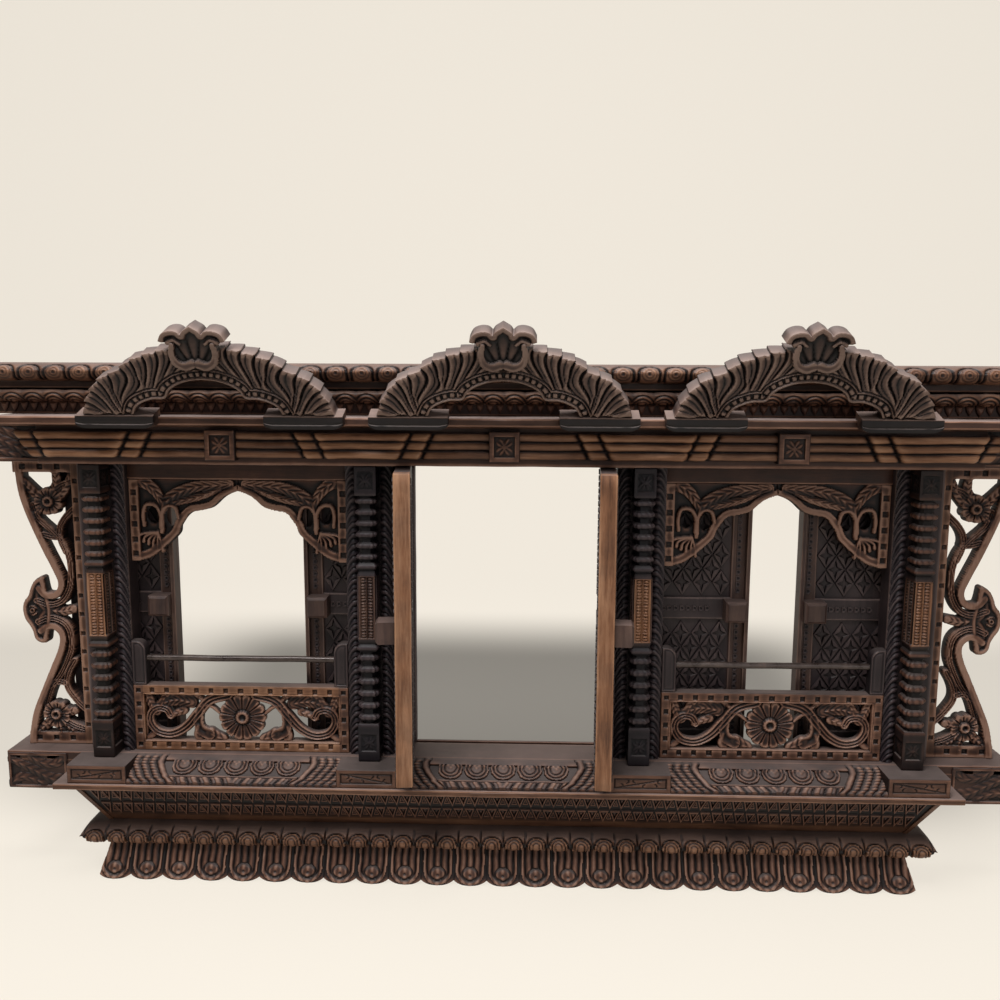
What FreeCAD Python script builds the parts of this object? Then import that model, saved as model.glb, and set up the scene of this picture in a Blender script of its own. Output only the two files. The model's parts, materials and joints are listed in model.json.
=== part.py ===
"""Carved wooden window of three bays: sill, posts, pierced wings, cusped spandrels, low parapets
with guard rods, a ribbed lintel, a lotus cornice, three leaning crest arches, two leaves on pivot pegs in the
centre bay and two sliding leaves in each side bay.

Millimetres, +Z up. X runs along the window, the viewer stands on the -Y side, and the wall plane is Y = 0.
The origin is the centre of the sill beam's rear face. A "reach" is a distance forward from the wall plane.
"""
import FreeCAD
import Part
import Sketcher

import math
import os
import re

from FreeCAD import Placement, Rotation, Vector

SIZES = {
    # bays and upright members
    "bay_pitch": 335,
    "opening_height": 372,
    "jamb_width": 59,
    "post_width": 26,
    "post_depth": 30,
    "post_reach": 76,
    "rope_gap": 0.5,
    "tenon_width": 20,
    "tenon_depth": 14,
    "tenon_length": 12,
    # carved zones of a post
    "post_base": 49,
    "post_head": 37,
    "post_lower_rings": 92,
    "post_upper_rings": 82,
    "post_collar": 10,
    "ring_count": 6,
    "ring_height": 8,
    "ring_inset": 2,
    # sill
    "sill_height": 50,
    "sill_overhang": 16,
    "beam_depth": 60,
    "block_width": 74,
    "block_height": 23.5,
    "block_proud": 25,
    "slope_lip": 4,
    "slope_flat": 5,
    "ledge_overhang": 25,
    "ledge_proud": 28,
    "ledge_thick": 7.5,
    # apron below the sill
    "apron_back": 24,
    "apron_height": 62,
    "apron_overhang": 4,
    "apron_taper": 24,
    "apron_setback": 10,
    "apron_foot_reach": 54,
    "lotus_height": 24,
    "lotus_reach": 78,
    "lotus_overhang": 8,
    "skirt_height": 43,
    "skirt_thick": 16,
    "skirt_inset": 26,
    "skirt_flare": 11,
    "skirt_top_reach": 62,
    "skirt_foot_reach": 84,
    "petal_count": 25,
    "petal_drop": 9,
    # lintel
    "lintel_height": 49,
    "lintel_overhang": 30,
    "lintel_proud": 6,
    "lintel_mid_overhang": 21,
    "rib_overhang": 46,
    "rib_step": 12.5,
    "rib_zone": 34,
    "rib_plate": 5,
    "capital_half": 83,
    "capital_taper": 15,
    "capital_step": 25,
    "capital_rise": 8,
    "capital_tier": 3,
    "flower_block": 36,
    "flower_block_rise": 15,
    "shelf_thick": 10,
    "shelf_overhang": 68,
    "shelf_proud": 40,
    # cornice
    "cornice_back": 10,
    "cornice_overhang": 20,
    "frieze_height": 16,
    "frieze_reach": 66,
    "lower_lotus_height": 15,
    "lower_lotus_reach": 80,
    "groove_height": 9,
    "groove_reach": 68,
    "upper_lotus_height": 22,
    "upper_lotus_reach": 89,
    # screens, parapets and guard rods of the side bays
    "screen_setback": 11,
    "screen_thick": 9,
    "head_rail_height": 23,
    "spandrel_height": 104,
    "parapet_height": 87,
    "parapet_reach": 50,
    "parapet_thick": 14,
    "parapet_rail": 13,
    "parapet_stile": 13,
    "scroll_inset": 3,
    "rod_radius": 4,
    "rod_rise": 34,
    "rod_seat": 9,
    "rod_clearance": 0.1,
    "cheek_width": 18,
    "cheek_height": 57,
    # wings
    "wing_width": 88,
    "wing_reach": 36,
    "wing_thick": 16,
    "wing_stile": 24,
    "wing_rail": 16,
    # leaves on pivot pegs in the centre bay
    "leaf_thick": 20,
    "leaf_gap": 1.5,
    "jamb_gap": 1.5,
    "meeting_gap": 3,
    "leaf_stile": 22,
    "leaf_rail": 24,
    "leaf_middle_rail": 28,
    "leaf_panel": 12,
    "peg_radius": 6,
    "peg_length": 12,
    "peg_clearance": 0.3,
    "knob_size": 26,
    "knob_bevel": 3,
    "knob_rise": 22,
    "knob_inset": 18,
    # sliding leaves of the side bays, with tongues in grooves
    "slide_back": 1,
    "slide_thick": 14,
    "slide_panel": 8,
    "slide_gap": 1,
    "slide_lap": 5,
    "strip_width": 5,
    "strip_proud": 8,
    "tongue_thick": 6,
    "tongue_clearance": 0.3,
    "groove_depth": 8,
    "groove_overhang": 50,
    # how far the leaves stand open from shut, in degrees on pegs and in millimetres in grooves
    "centre_left_angle": 84,
    "centre_right_angle": 86,
    "left_bay_left_shift": 87.5,
    "left_bay_right_shift": 76.9,
    "right_bay_left_shift": 25.1,
    "right_bay_right_shift": 34.7,
    # crest arches, leaning forward on their feet
    "arch_half": 144,
    "arch_rise": 84,
    "arch_thick": 24,
    "arch_lean_angle": 22,
    "arch_setback": 8,
    "arch_opening_half": 86,
    "arch_opening_rise": 44,
    "finial_half": 37,
    "finial_height": 50,
    "finial_lift": 15,
    "finial_thick": 10,
    "crown_back": 14,
    "foot_proud": 24,
    "foot_rise": 7.5,
    "foot_drop": 3,
    "foot_overhang": 9,
    "foot_inset": 23,
}

# Outlines of carved panels are drawn at these sizes and follow the panels when those change.
WING_DRAWN = (88.0, 372.0)
SPANDREL_DRAWN = (138.0, 104.0)
SCROLL_DRAWN = (125.0, 61.0)
ARCH_DRAWN = (144.0, 84.0)
OPENING_DRAWN = (86.0, 44.0)
FINIAL_DRAWN = (37.0, 50.0)
RIM_WIDTH, STEM_WIDTH, WING_FLOWER = 11.0, 7.0, 17.0
FLOWER_SHARE, FLOWER_FOOT_SHARE = 0.475, 0.2

# Levels, reaches and half-lengths that several pieces share, as formulas of the sizes.
SILL_TOP = "(sill_height / 2)"
LEDGE_TOP = f"({SILL_TOP} - block_height)"
LEDGE_FOOT = f"({LEDGE_TOP} - ledge_thick)"
APRON_FOOT = f"({LEDGE_FOOT} - apron_height)"
LOTUS_FOOT = f"({APRON_FOOT} - lotus_height)"
PARAPET_TOP = f"({SILL_TOP} + parapet_height)"
HEAD = f"({SILL_TOP} + opening_height)"
LINTEL_TOP = f"({HEAD} + lintel_height)"
RIB_FOOT = f"({HEAD} + (lintel_height - rib_zone) / 2)"
SHELF_TOP = f"({LINTEL_TOP} + shelf_thick)"
FRIEZE_TOP = f"({SHELF_TOP} + frieze_height)"
LOWER_LOTUS_TOP = f"({FRIEZE_TOP} + lower_lotus_height)"
GROOVE_TOP = f"({LOWER_LOTUS_TOP} + groove_height)"

JAMB_REACH = "(post_reach - post_depth)"
JAMB_BACK = "(slide_back + slide_thick + slide_gap)"
BLOCK_REACH = "(post_reach + block_proud)"
LEDGE_REACH = "(post_reach + ledge_proud)"
LINTEL_REACH = "(post_reach + lintel_proud)"
SHELF_REACH = "(post_reach + shelf_proud)"
FOOT_REACH = f"({SHELF_REACH} + foot_proud)"
ARCH_REACH = f"({FOOT_REACH} - arch_setback)"
SCREEN_BACK = f"({JAMB_BACK} + screen_setback)"
SCREEN_REACH = f"({SCREEN_BACK} + screen_thick)"

BAY_HALF = "((bay_pitch - jamb_width) / 2)"
ROPE_WIDTH = "((jamb_width - post_width) / 2 - rope_gap)"
JAMB_OUTER = "(1.5 * bay_pitch + jamb_width / 2)"
WING_OUTER = f"({JAMB_OUTER} + wing_width)"
SILL_HALF = f"({WING_OUTER} + sill_overhang)"
LINTEL_HALF = f"({WING_OUTER} + lintel_overhang)"
CORNICE_HALF = f"({WING_OUTER} + cornice_overhang)"
APRON_HALF = f"({JAMB_OUTER} + apron_overhang)"
LOTUS_HALF = f"({JAMB_OUTER} + lotus_overhang)"
SKIRT_HALF = f"({JAMB_OUTER} - skirt_inset)"
SKIRT_FOOT_HALF = f"({SKIRT_HALF} + skirt_flare)"
RIB_HALF = f"({JAMB_OUTER} + rib_overhang)"

ARCH_SLOPE = "tan(arch_lean_angle * 1 deg)"
FOOT_FRONT_TOP = f"({SHELF_TOP} + foot_rise - foot_proud * {ARCH_SLOPE})"
ARCH_FOOT = f"({FOOT_FRONT_TOP} + arch_setback * {ARCH_SLOPE})"

PIVOT_HALF = f"({BAY_HALF} - jamb_gap - leaf_thick / 2)"
LEAF_LENGTH = f"({PIVOT_HALF} - meeting_gap / 2)"
LEAF_HEIGHT = "(opening_height - 2 * leaf_gap)"
LEAF_FOOT = f"({SILL_TOP} + leaf_gap)"
LEAF_REACH = f"({JAMB_BACK} + leaf_thick / 2)"
SLIDE_LENGTH = f"({BAY_HALF} - meeting_gap / 2 + slide_lap)"
SLIDE_REACH = "(slide_back + slide_thick / 2)"
TONGUE = "(leaf_gap + groove_depth - tongue_clearance)"

POST_PLACES = (-1.5, -0.5, 0.5, 1.5)
BAYS = {"left": -1, "centre": 0, "right": 1}
HUNG_LEAVES = {"centre_left": -1, "centre_right": 1}
SLIDING_LEAVES = (
    ("left_bay_left", -1, -1),
    ("left_bay_right", -1, 1),
    ("right_bay_left", 1, -1),
    ("right_bay_right", 1, 1),
)

ALIAS = re.compile(r"\b(" + "|".join(sorted(SIZES, key=len, reverse=True)) + r")\b")

doc = FreeCAD.newDocument("carved_window")
sheet = doc.addObject("Spreadsheet::Sheet", "Sizes")
nodes = {}


def fill_sheet():
    """Write each size and its alias on a row of its own."""
    for row, (alias, number) in enumerate(SIZES.items(), start=1):
        sheet.set(f"A{row}", alias)
        sheet.set(f"B{row}", str(number))
        sheet.setAlias(f"B{row}", alias)
    doc.recompute()


def ex(formula):
    """A formula of size names as an expression on the sheet."""
    return ALIAS.sub(lambda found: "Sizes." + found.group(0), str(formula))


def value(formula):
    """The number that a formula of size names gives."""
    return float(sheet.evalExpression(ex(formula)))


def bind(thing, **formulas):
    for name, formula in formulas.items():
        thing.setExpression(name, ex(formula))


def place(thing, x="0", y="0", z="0", turn=None, about=Vector(0, 0, 1)):
    """Bind a placement: where the origin goes and, if given, a turn in degrees about one axis."""
    if turn is not None:
        thing.Placement = Placement(Vector(), Rotation(about, 1))
        thing.setExpression("Placement.Rotation.Angle", ex(f"({turn}) * 1 deg"))
    for axis, formula in zip("xyz", (x, y, z)):
        thing.setExpression(f"Placement.Base.{axis}", ex(formula))
    return thing


def keep(thing):
    """Mark an object as a sub-part of the window: its label names its file."""
    nodes[thing.Label] = thing
    return thing


def box(label, x, y, z):
    """A box between two formulas on each axis."""
    solid = doc.addObject("Part::Box", label)
    bind(solid, Length=f"({x[1]}) - ({x[0]})", Width=f"({y[1]}) - ({y[0]})", Height=f"({z[1]}) - ({z[0]})")
    return place(solid, x[0], y[0], z[0])


def upright(label, radius, height, x, y, z, sweep="360", turn=None):
    """A cylinder, or a sector of one, with its axis along Z."""
    solid = doc.addObject("Part::Cylinder", label)
    bind(solid, Radius=radius, Height=height, Angle=f"({sweep}) * 1 deg")
    return place(solid, x, y, z, turn)


def lying(label, radius, half_length, y, z, x="0", front_half=False):
    """A round bar along X, centred on x, or only the half of it that faces the viewer."""
    solid = doc.addObject("Part::Cylinder", label)
    bind(solid, Radius=radius, Height=f"2 * ({half_length})", Angle="180 deg" if front_half else "360 deg")
    start = f"({x}) - ({half_length})"
    if front_half:
        return place(solid, start, y, z, "180", Vector(1, 0, 1))
    return place(solid, start, y, z, "90", Vector(0, 1, 0))


def tapered(label, low, high, z, near, far):
    """A block whose foot spans low and head spans high on X, with its own reach at foot and head."""
    solid = doc.addObject("Part::Wedge", label)
    bind(solid, Xmin=low[0], Xmax=low[1], X2min=high[0], X2max=high[1], Ymin="0", Ymax=f"({z[1]}) - ({z[0]})")
    bind(solid, Zmin=near[0], Zmax=near[1], Z2min=far[0], Z2max=far[1])
    return place(solid, "0", "0", z[0], "90", Vector(1, 0, 0))


def fuse(label, pieces):
    solid = doc.addObject("Part::MultiFuse", label)
    solid.Shapes = pieces
    solid.Refine = True
    return solid


def group(label, pieces):
    """Equal pieces that share one node."""
    solids = doc.addObject("Part::Compound", label)
    solids.Links = pieces
    return solids


def cut(label, base, tool):
    solid = doc.addObject("Part::Cut", label)
    solid.Base = base
    solid.Tool = tool
    return solid


def common(label, base, tool):
    solid = doc.addObject("Part::Common", label)
    solid.Base = base
    solid.Tool = tool
    return solid


def profile(label, points, x):
    """A prism along X between two formulas, with a polygon of (reach, height) corners as its section."""
    sketch = doc.addObject("Sketcher::SketchObject", label + "_section")
    sketch.Placement = Placement(Vector(), Rotation(Vector(0, 1, 0), Vector(0, 0, 1), Vector(1, 0, 0), "XYZ"))
    spots = [Vector(-value(reach), value(height), 0) for reach, height in points]
    count = len(points)
    for index in range(count):
        sketch.addGeometry(Part.LineSegment(spots[index], spots[(index + 1) % count]), False)
    for index in range(count):
        sketch.addConstraint(Sketcher.Constraint("Coincident", index, 2, (index + 1) % count, 1))
    for index, (reach, height) in enumerate(points):
        corner = (("DistanceX", spots[index].x, f"-({reach})"), ("DistanceY", spots[index].y, height))
        for kind, number, formula in corner:
            which = sketch.addConstraint(Sketcher.Constraint(kind, -1, 1, index, 1, number))
            sketch.setExpression(f"Constraints[{which}]", ex(formula))
    prism = doc.addObject("Part::Extrusion", label)
    prism.Base = sketch
    prism.DirMode = "Normal"
    prism.Solid = True
    bind(prism, LengthFwd=x[1], LengthRev=f"-({x[0]})")
    return prism


def spline(points):
    """A smooth edge through points."""
    curve = Part.BSplineCurve()
    curve.interpolate([Vector(x, 0, z) for x, z in points])
    return curve.toShape()


def line(start, end):
    return Part.makeLine(Vector(start[0], 0, start[1]), Vector(end[0], 0, end[1]))


def arc(start, through, end):
    spots = [Vector(x, 0, z) for x, z in (start, through, end)]
    return Part.Arc(*spots).toShape()


def panel(edges):
    """A flat outline in the XZ plane as a face."""
    return Part.Face(Part.Wire(Part.__sortEdges__(edges)))


def strap(points, width):
    """The face of a carved stem of even width along a curve through points."""
    sides = ([], [])
    for index, (x, z) in enumerate(points):
        before = points[max(index - 1, 0)]
        after = points[min(index + 1, len(points) - 1)]
        run = math.hypot(after[0] - before[0], after[1] - before[1])
        across = ((before[1] - after[1]) / run, (after[0] - before[0]) / run)
        for side, sign in zip(sides, (0.5, -0.5)):
            side.append((x + across[0] * sign * width, z + across[1] * sign * width))
    left, right = sides
    return panel([spline(left), line(left[-1], right[-1]), spline(right), line(right[0], left[0])])


def disc(centre, radius):
    circle = Part.makeCircle(radius, Vector(centre[0], 0, centre[1]), Vector(0, -1, 0))
    return Part.Face(Part.Wire(circle))


def slab(x, z):
    corners = ((x[0], z[0]), (x[1], z[0]), (x[1], z[1]), (x[0], z[1]))
    return panel([line(corners[index - 1], corners[index]) for index in range(4)])


def facing(flat):
    """The same face turned towards the viewer, since only faces that agree merge when they are fused."""
    board = thicken(flat, 1)
    return next(face for face in board.Faces if face.BoundBox.YMax < 0.001)


def carved(flats, bounds, thick):
    """One pierced panel from overlapping faces, thickened towards the wall and trimmed to its bounds."""
    faces = [facing(flat) for flat in flats]
    whole = faces[0].fuse(faces[1:]).removeSplitter()
    return thicken(whole.Faces[0], thick).common(thicken(bounds, thick)).Solids[0]


def thicken(flat, thick):
    return flat.extrude(Vector(0, thick, 0))


def mirrored(shape, sign):
    if sign > 0:
        return shape
    return shape.mirror(Vector(), Vector(1, 0, 0))


def feature(label, shape, spot, turn=Rotation()):
    """A carved piece whose outline is drawn in code from the sheet's sizes."""
    piece = doc.addObject("Part::Feature", label)
    piece.Shape = shape
    piece.Placement = Placement(spot, turn)
    return keep(piece)


def fit(points, drawn, size):
    """Drawn points scaled to a panel's own width and height."""
    return [(x * size[0] / drawn[0], z * size[1] / drawn[1]) for x, z in points]


def both(half):
    """A span from minus to plus one half-length."""
    return (f"-{half}", half)


def sockets(label, low, high, groove_z):
    """Sockets for two leaves' pegs and mortises for the jambs between two heights, and a groove for the tongues."""
    half = "(tongue_thick / 2 + tongue_clearance)"
    groove_y = (f"-{SLIDE_REACH} - {half}", f"-{SLIDE_REACH} + {half}")
    holes = [box(label + "_groove", both(f"({JAMB_OUTER} + groove_overhang)"), groove_y, groove_z)]
    for name, side in HUNG_LEAVES.items():
        radius = "peg_radius + peg_clearance"
        spot = (f"({side}) * {PIVOT_HALF}", f"-{LEAF_REACH}", low)
        holes.append(upright(f"{label}_socket_{name}", radius, f"({high}) - ({low})", *spot))
    for index, place_x in enumerate(POST_PLACES):
        x = (f"{place_x} * bay_pitch - tenon_width / 2", f"{place_x} * bay_pitch + tenon_width / 2")
        holes.append(box(f"{label}_mortise_{index}", x, tenon_span(), (low, high)))
    return group(label + "_holes", holes)


def tenon_span():
    middle = f"(({JAMB_REACH} + {JAMB_BACK}) / 2)"
    return (f"-{middle} - tenon_depth / 2", f"-{middle} + tenon_depth / 2")


def make_sill():
    beam = box("sill_timber", both(SILL_HALF), ("-beam_depth", "0"), ("-sill_height / 2", SILL_TOP))
    groove = (f"{SILL_TOP} - groove_depth", SILL_TOP)
    keep(cut("sill_beam", beam, sockets("sill", f"{SILL_TOP} - tenon_length", SILL_TOP, groove)))
    ledge_y = (f"-{LEDGE_REACH}", "-beam_depth")
    keep(box("sill_ledge", both(f"({JAMB_OUTER} + ledge_overhang)"), ledge_y, (LEDGE_FOOT, LEDGE_TOP)))
    blocks = []
    for index, spot in enumerate(POST_PLACES):
        x = (f"{spot} * bay_pitch - block_width / 2", f"{spot} * bay_pitch + block_width / 2")
        y = (f"-{BLOCK_REACH}", "-beam_depth")
        blocks.append(box(f"sill_block_{index}", x, y, (LEDGE_TOP, SILL_TOP)))
    keep(group("sill_blocks", blocks))
    section = (
        ("beam_depth", LEDGE_TOP),
        (BLOCK_REACH, LEDGE_TOP),
        (BLOCK_REACH, f"{LEDGE_TOP} + slope_lip"),
        ("beam_depth + slope_flat", SILL_TOP),
        ("beam_depth", SILL_TOP),
    )
    slopes = []
    for name, bay in BAYS.items():
        half = "((bay_pitch - block_width) / 2)"
        x = (f"{bay} * bay_pitch - {half}", f"{bay} * bay_pitch + {half}")
        slopes.append(profile(f"sill_slope_{name}", section, x))
    keep(group("sill_slopes", slopes))


def make_apron():
    foot = both(f"({APRON_HALF} - apron_taper)")
    head = both(APRON_HALF)
    depth = ("apron_back", "apron_foot_reach"), ("apron_back", f"{LEDGE_REACH} - apron_setback")
    board = tapered("apron_board", foot, head, (APRON_FOOT, LEDGE_FOOT), *depth)
    beam = box("apron_notch", both(SILL_HALF), ("-beam_depth", "0"), ("-sill_height / 2", SILL_TOP))
    keep(cut("apron_panel", board, beam))
    make_lotus()
    make_skirt()


def make_lotus():
    """A half-round roll along the front that returns to the wall round mitred corners."""
    radius = "(lotus_height / 2)"
    z = (LOTUS_FOOT, APRON_FOOT)
    bar = lying("lotus_bar", radius, LOTUS_HALF, f"{radius} - lotus_reach", f"{LOTUS_FOOT} + {radius}")
    back = box("lotus_back", both(LOTUS_HALF), (f"{radius} - lotus_reach", "-apron_back"), z)
    sides = [box("lotus_middle", both(f"({LOTUS_HALF} - {radius})"), ("-lotus_reach", "-apron_back"), z)]
    sides += [lotus_return(side) for side in (-1, 1)]
    keep(common("apron_lotus", fuse("lotus_front", [bar, back]), fuse("lotus_sides", sides)))


def lotus_return(side):
    """A round bar from the wall to the viewer, for one end of the lotus roll."""
    solid = doc.addObject("Part::Cylinder", f"lotus_return_{'left' if side < 0 else 'right'}")
    bind(solid, Radius="lotus_height / 2", Height="lotus_reach - apron_back")
    x = f"({side}) * ({LOTUS_HALF} - lotus_height / 2)"
    return place(solid, x, "-apron_back", f"{LOTUS_FOOT} + lotus_height / 2", "90", Vector(1, 0, 0))


def make_skirt():
    """The petal skirt: a board that flares to its foot, with one round tongue for each petal."""
    top, foot, height = value(SKIRT_HALF), value(SKIRT_FOOT_HALF), value("skirt_height")
    drop, count = value("petal_drop"), int(value("petal_count"))
    pitch = 2 * foot / count
    edges = [line((-top, 0), (top, 0)), line((top, 0), (foot, drop - height))]
    for index in range(count):
        right = foot - index * pitch
        low = drop - height
        edges.append(arc((right, low), (right - pitch / 2, -height), (right - pitch, low)))
    edges.append(line((-foot, drop - height), (-top, 0)))
    outline = doc.addObject("Part::Feature", "skirt_outline")
    outline.Shape = thicken(panel(edges), value("skirt_foot_reach"))
    outline.Placement = Placement(Vector(0, -value("skirt_foot_reach"), value(LOTUS_FOOT)), Rotation())
    low = f"({LOTUS_FOOT} - skirt_height)"
    section = (
        ("skirt_top_reach", LOTUS_FOOT),
        ("skirt_top_reach - skirt_thick", LOTUS_FOOT),
        ("skirt_foot_reach - skirt_thick", low),
        ("skirt_foot_reach", low),
    )
    board = profile("skirt_board", section, both(SKIRT_FOOT_HALF))
    keep(common("apron_skirt", board, outline))


def make_lintel():
    z = (HEAD, LINTEL_TOP)
    middle = box("lintel_middle", both(f"({JAMB_OUTER} + lintel_mid_overhang)"), (f"-{LINTEL_REACH}", "0"), z)
    horns = box("lintel_horns", both(LINTEL_HALF), ("-beam_depth", "0"), z)
    timber = fuse("lintel_timber", [middle, horns])
    groove = (HEAD, f"{HEAD} + groove_depth")
    keep(cut("lintel_beam", timber, sockets("lintel", HEAD, f"{HEAD} + tenon_length", groove)))
    make_lintel_moulding()
    shelf_y = (f"-{SHELF_REACH}", "-cornice_back")
    keep(box("lintel_shelf", both(f"({JAMB_OUTER} + shelf_overhang)"), shelf_y, (LINTEL_TOP, SHELF_TOP)))


def make_lintel_moulding():
    """Three ribs on a plate, stepped out at each post, with a square flower block over each bay."""
    plate_y = (f"-{LINTEL_REACH} - rib_plate", f"-{LINTEL_REACH}")
    zone = (RIB_FOOT, f"{RIB_FOOT} + rib_zone")
    pieces = [box("rib_board", both(f"({RIB_HALF} - 2 * rib_step)"), plate_y, zone)]
    for index in range(3):
        radius = "(rib_zone / 6)"
        z = f"{RIB_FOOT} + {5 - 2 * index} * {radius}"
        half = f"({RIB_HALF} - {index} * rib_step)"
        pieces.append(lying(f"lintel_rib_{index}", radius, half, plate_y[0], z, front_half=True))
    for index, spot in enumerate(POST_PLACES):
        pieces += capital_steps(index, spot, zone)
    moulding = fuse("lintel_carving", pieces)
    seats, blocks = [], []
    for name, bay in BAYS.items():
        x = (f"{bay} * bay_pitch - flower_block / 2", f"{bay} * bay_pitch + flower_block / 2")
        middle = f"({RIB_FOOT} + rib_zone / 2)"
        z = (f"{middle} - flower_block / 2", f"{middle} + flower_block / 2")
        y = (f"-{LINTEL_REACH} - flower_block_rise", f"-{LINTEL_REACH}")
        seats.append(box(f"flower_seat_{name}", x, y, z))
        blocks.append(box(f"flower_block_{name}", x, y, z))
    keep(cut("lintel_moulding", moulding, group("flower_seats", seats)))
    keep(group("lintel_flower_blocks", blocks))


def capital_steps(index, spot, zone):
    """Two stepped fronts over one post, each wider at its head than at its foot."""
    steps = []
    for level in range(2):
        narrowing = f"{level} * capital_step"
        head = f"(capital_half - {narrowing})"
        foot = f"({head} - capital_taper)"
        middle = f"{spot} * bay_pitch"
        low = (f"{middle} - {foot}", f"{middle} + {foot}")
        high = (f"{middle} - {head}", f"{middle} + {head}")
        depth = (LINTEL_REACH, f"{LINTEL_REACH} + rib_plate + capital_rise + {level} * capital_tier")
        steps.append(tapered(f"capital_{index}_{level}", low, high, zone, depth, depth))
    return steps


def make_cornice():
    x = both(CORNICE_HALF)
    keep(box("cornice_frieze", x, ("-frieze_reach", "-cornice_back"), (SHELF_TOP, FRIEZE_TOP)))
    keep(rolled("cornice_lower_lotus", x, "lower_lotus_reach", "lower_lotus_height", FRIEZE_TOP))
    groove = box("cornice_groove", x, ("-groove_reach", "-cornice_back"), (LOWER_LOTUS_TOP, GROOVE_TOP))
    roll = rolled("cornice_roll", x, "upper_lotus_reach", "upper_lotus_height", GROOVE_TOP)
    keep(fuse("cornice_upper_lotus", [groove, roll]))


def rolled(label, x, reach, height, low):
    """A moulding along X with a half-round front."""
    radius = f"({height} / 2)"
    bar = lying(label + "_front", radius, x[1], f"{radius} - {reach}", f"{low} + {radius}")
    back = box(label + "_back", x, (f"{radius} - {reach}", "-cornice_back"), (low, f"{low} + {height}"))
    return fuse(label, [bar, back])


def make_posts():
    for index, spot in enumerate(POST_PLACES, start=1):
        keep(fuse(f"post_{index}", post_pieces(f"post_{index}", f"{spot} * bay_pitch")))


def post_pieces(label, middle):
    """Base block, ringed zone, collar, eight-sided shaft, collar, ringed zone and head block."""
    def block(name, inset, low, high):
        x = (f"{middle} - post_width / 2 + ({inset})", f"{middle} + post_width / 2 - ({inset})")
        return box(f"{label}_{name}", x, (f"({inset}) - post_reach", f"-{JAMB_REACH}"), (low, high))

    base_top = f"({SILL_TOP} + post_base)"
    rings_top = f"({base_top} + post_lower_rings)"
    shaft_foot = f"({rings_top} + post_collar)"
    head_foot = f"({HEAD} - post_head)"
    collar_top = f"({head_foot} - post_upper_rings)"
    shaft_top = f"({collar_top} - post_collar)"
    pieces = [
        block("base", "0", SILL_TOP, base_top),
        block("lower_core", "ring_inset", base_top, rings_top),
        block("lower_collar", "0", rings_top, shaft_foot),
        shaft(label, middle, shaft_foot, shaft_top),
        block("upper_collar", "0", shaft_top, collar_top),
        block("upper_core", "ring_inset", collar_top, head_foot),
        block("head", "0", head_foot, HEAD),
    ]
    zones = (("lower", base_top, "post_lower_rings"), ("upper", collar_top, "post_upper_rings"))
    for zone, low, length in zones:
        for ring in range(int(value("ring_count"))):
            middle_z = f"({low} + {length} * {ring + 0.5} / ring_count)"
            span = (f"{middle_z} - ring_height / 2", f"{middle_z} + ring_height / 2")
            pieces.append(block(f"{zone}_ring_{ring}", "0", *span))
    return pieces


def shaft(label, middle, low, high):
    """The eight-sided middle of a post, as wide across its flats as the post."""
    solid = doc.addObject("Part::Prism", label + "_shaft")
    solid.Polygon = 8
    bind(solid, Circumradius="post_width / 2 / cos(22.5 deg)", Height=f"{high} - {low}")
    return place(solid, middle, "post_width / 2 - post_reach", low, "22.5")


def make_jambs():
    for index, spot in enumerate(POST_PLACES, start=1):
        middle = f"{spot} * bay_pitch"
        half = "(jamb_width / 2)"
        y = (f"-{JAMB_REACH}", f"-{JAMB_BACK}")
        body = box(f"jamb_{index}_body", (f"{middle} - {half}", f"{middle} + {half}"), y, (SILL_TOP, HEAD))
        x = (f"{middle} - tenon_width / 2", f"{middle} + tenon_width / 2")
        z = (f"{SILL_TOP} - tenon_length", f"{HEAD} + tenon_length")
        tenon = box(f"jamb_{index}_tenon", x, tenon_span(), z)
        keep(fuse(f"jamb_{index}", [body, tenon]))
    keep(group("rope_mouldings", rope_rounds()))


def rope_rounds():
    """A half-round moulding on each jamb face, one on either side of every bay."""
    ropes = []
    radius = f"({ROPE_WIDTH} / 2)"
    for name, bay in BAYS.items():
        for side in (-1, 1):
            x = f"{bay} * bay_pitch + ({side}) * ({BAY_HALF} + rope_gap + {radius})"
            label = f"rope_{name}_{'left' if side < 0 else 'right'}"
            spot = (x, f"-{JAMB_REACH}", SILL_TOP)
            ropes.append(upright(label, radius, "opening_height", *spot, sweep="180", turn="180"))
    return ropes


def make_screens():
    rails = []
    for name in ("left", "right"):
        bay = BAYS[name]
        x = (f"{bay} * bay_pitch - {BAY_HALF}", f"{bay} * bay_pitch + {BAY_HALF}")
        y = (f"-{SCREEN_REACH}", f"-{SCREEN_BACK}")
        rails.append(box(f"head_rail_{name}", x, y, (f"{HEAD} - head_rail_height", HEAD)))
        for side_name, side in (("left", -1), ("right", 1)):
            spot = Vector(bay * value("bay_pitch"), -value(SCREEN_REACH), value(f"{HEAD} - head_rail_height"))
            feature(f"spandrel_{name}_bay_{side_name}", mirrored(spandrel_shape(), side), spot)
        make_parapet(name, bay)
    keep(group("head_rails", rails))
    make_rods()


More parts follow.
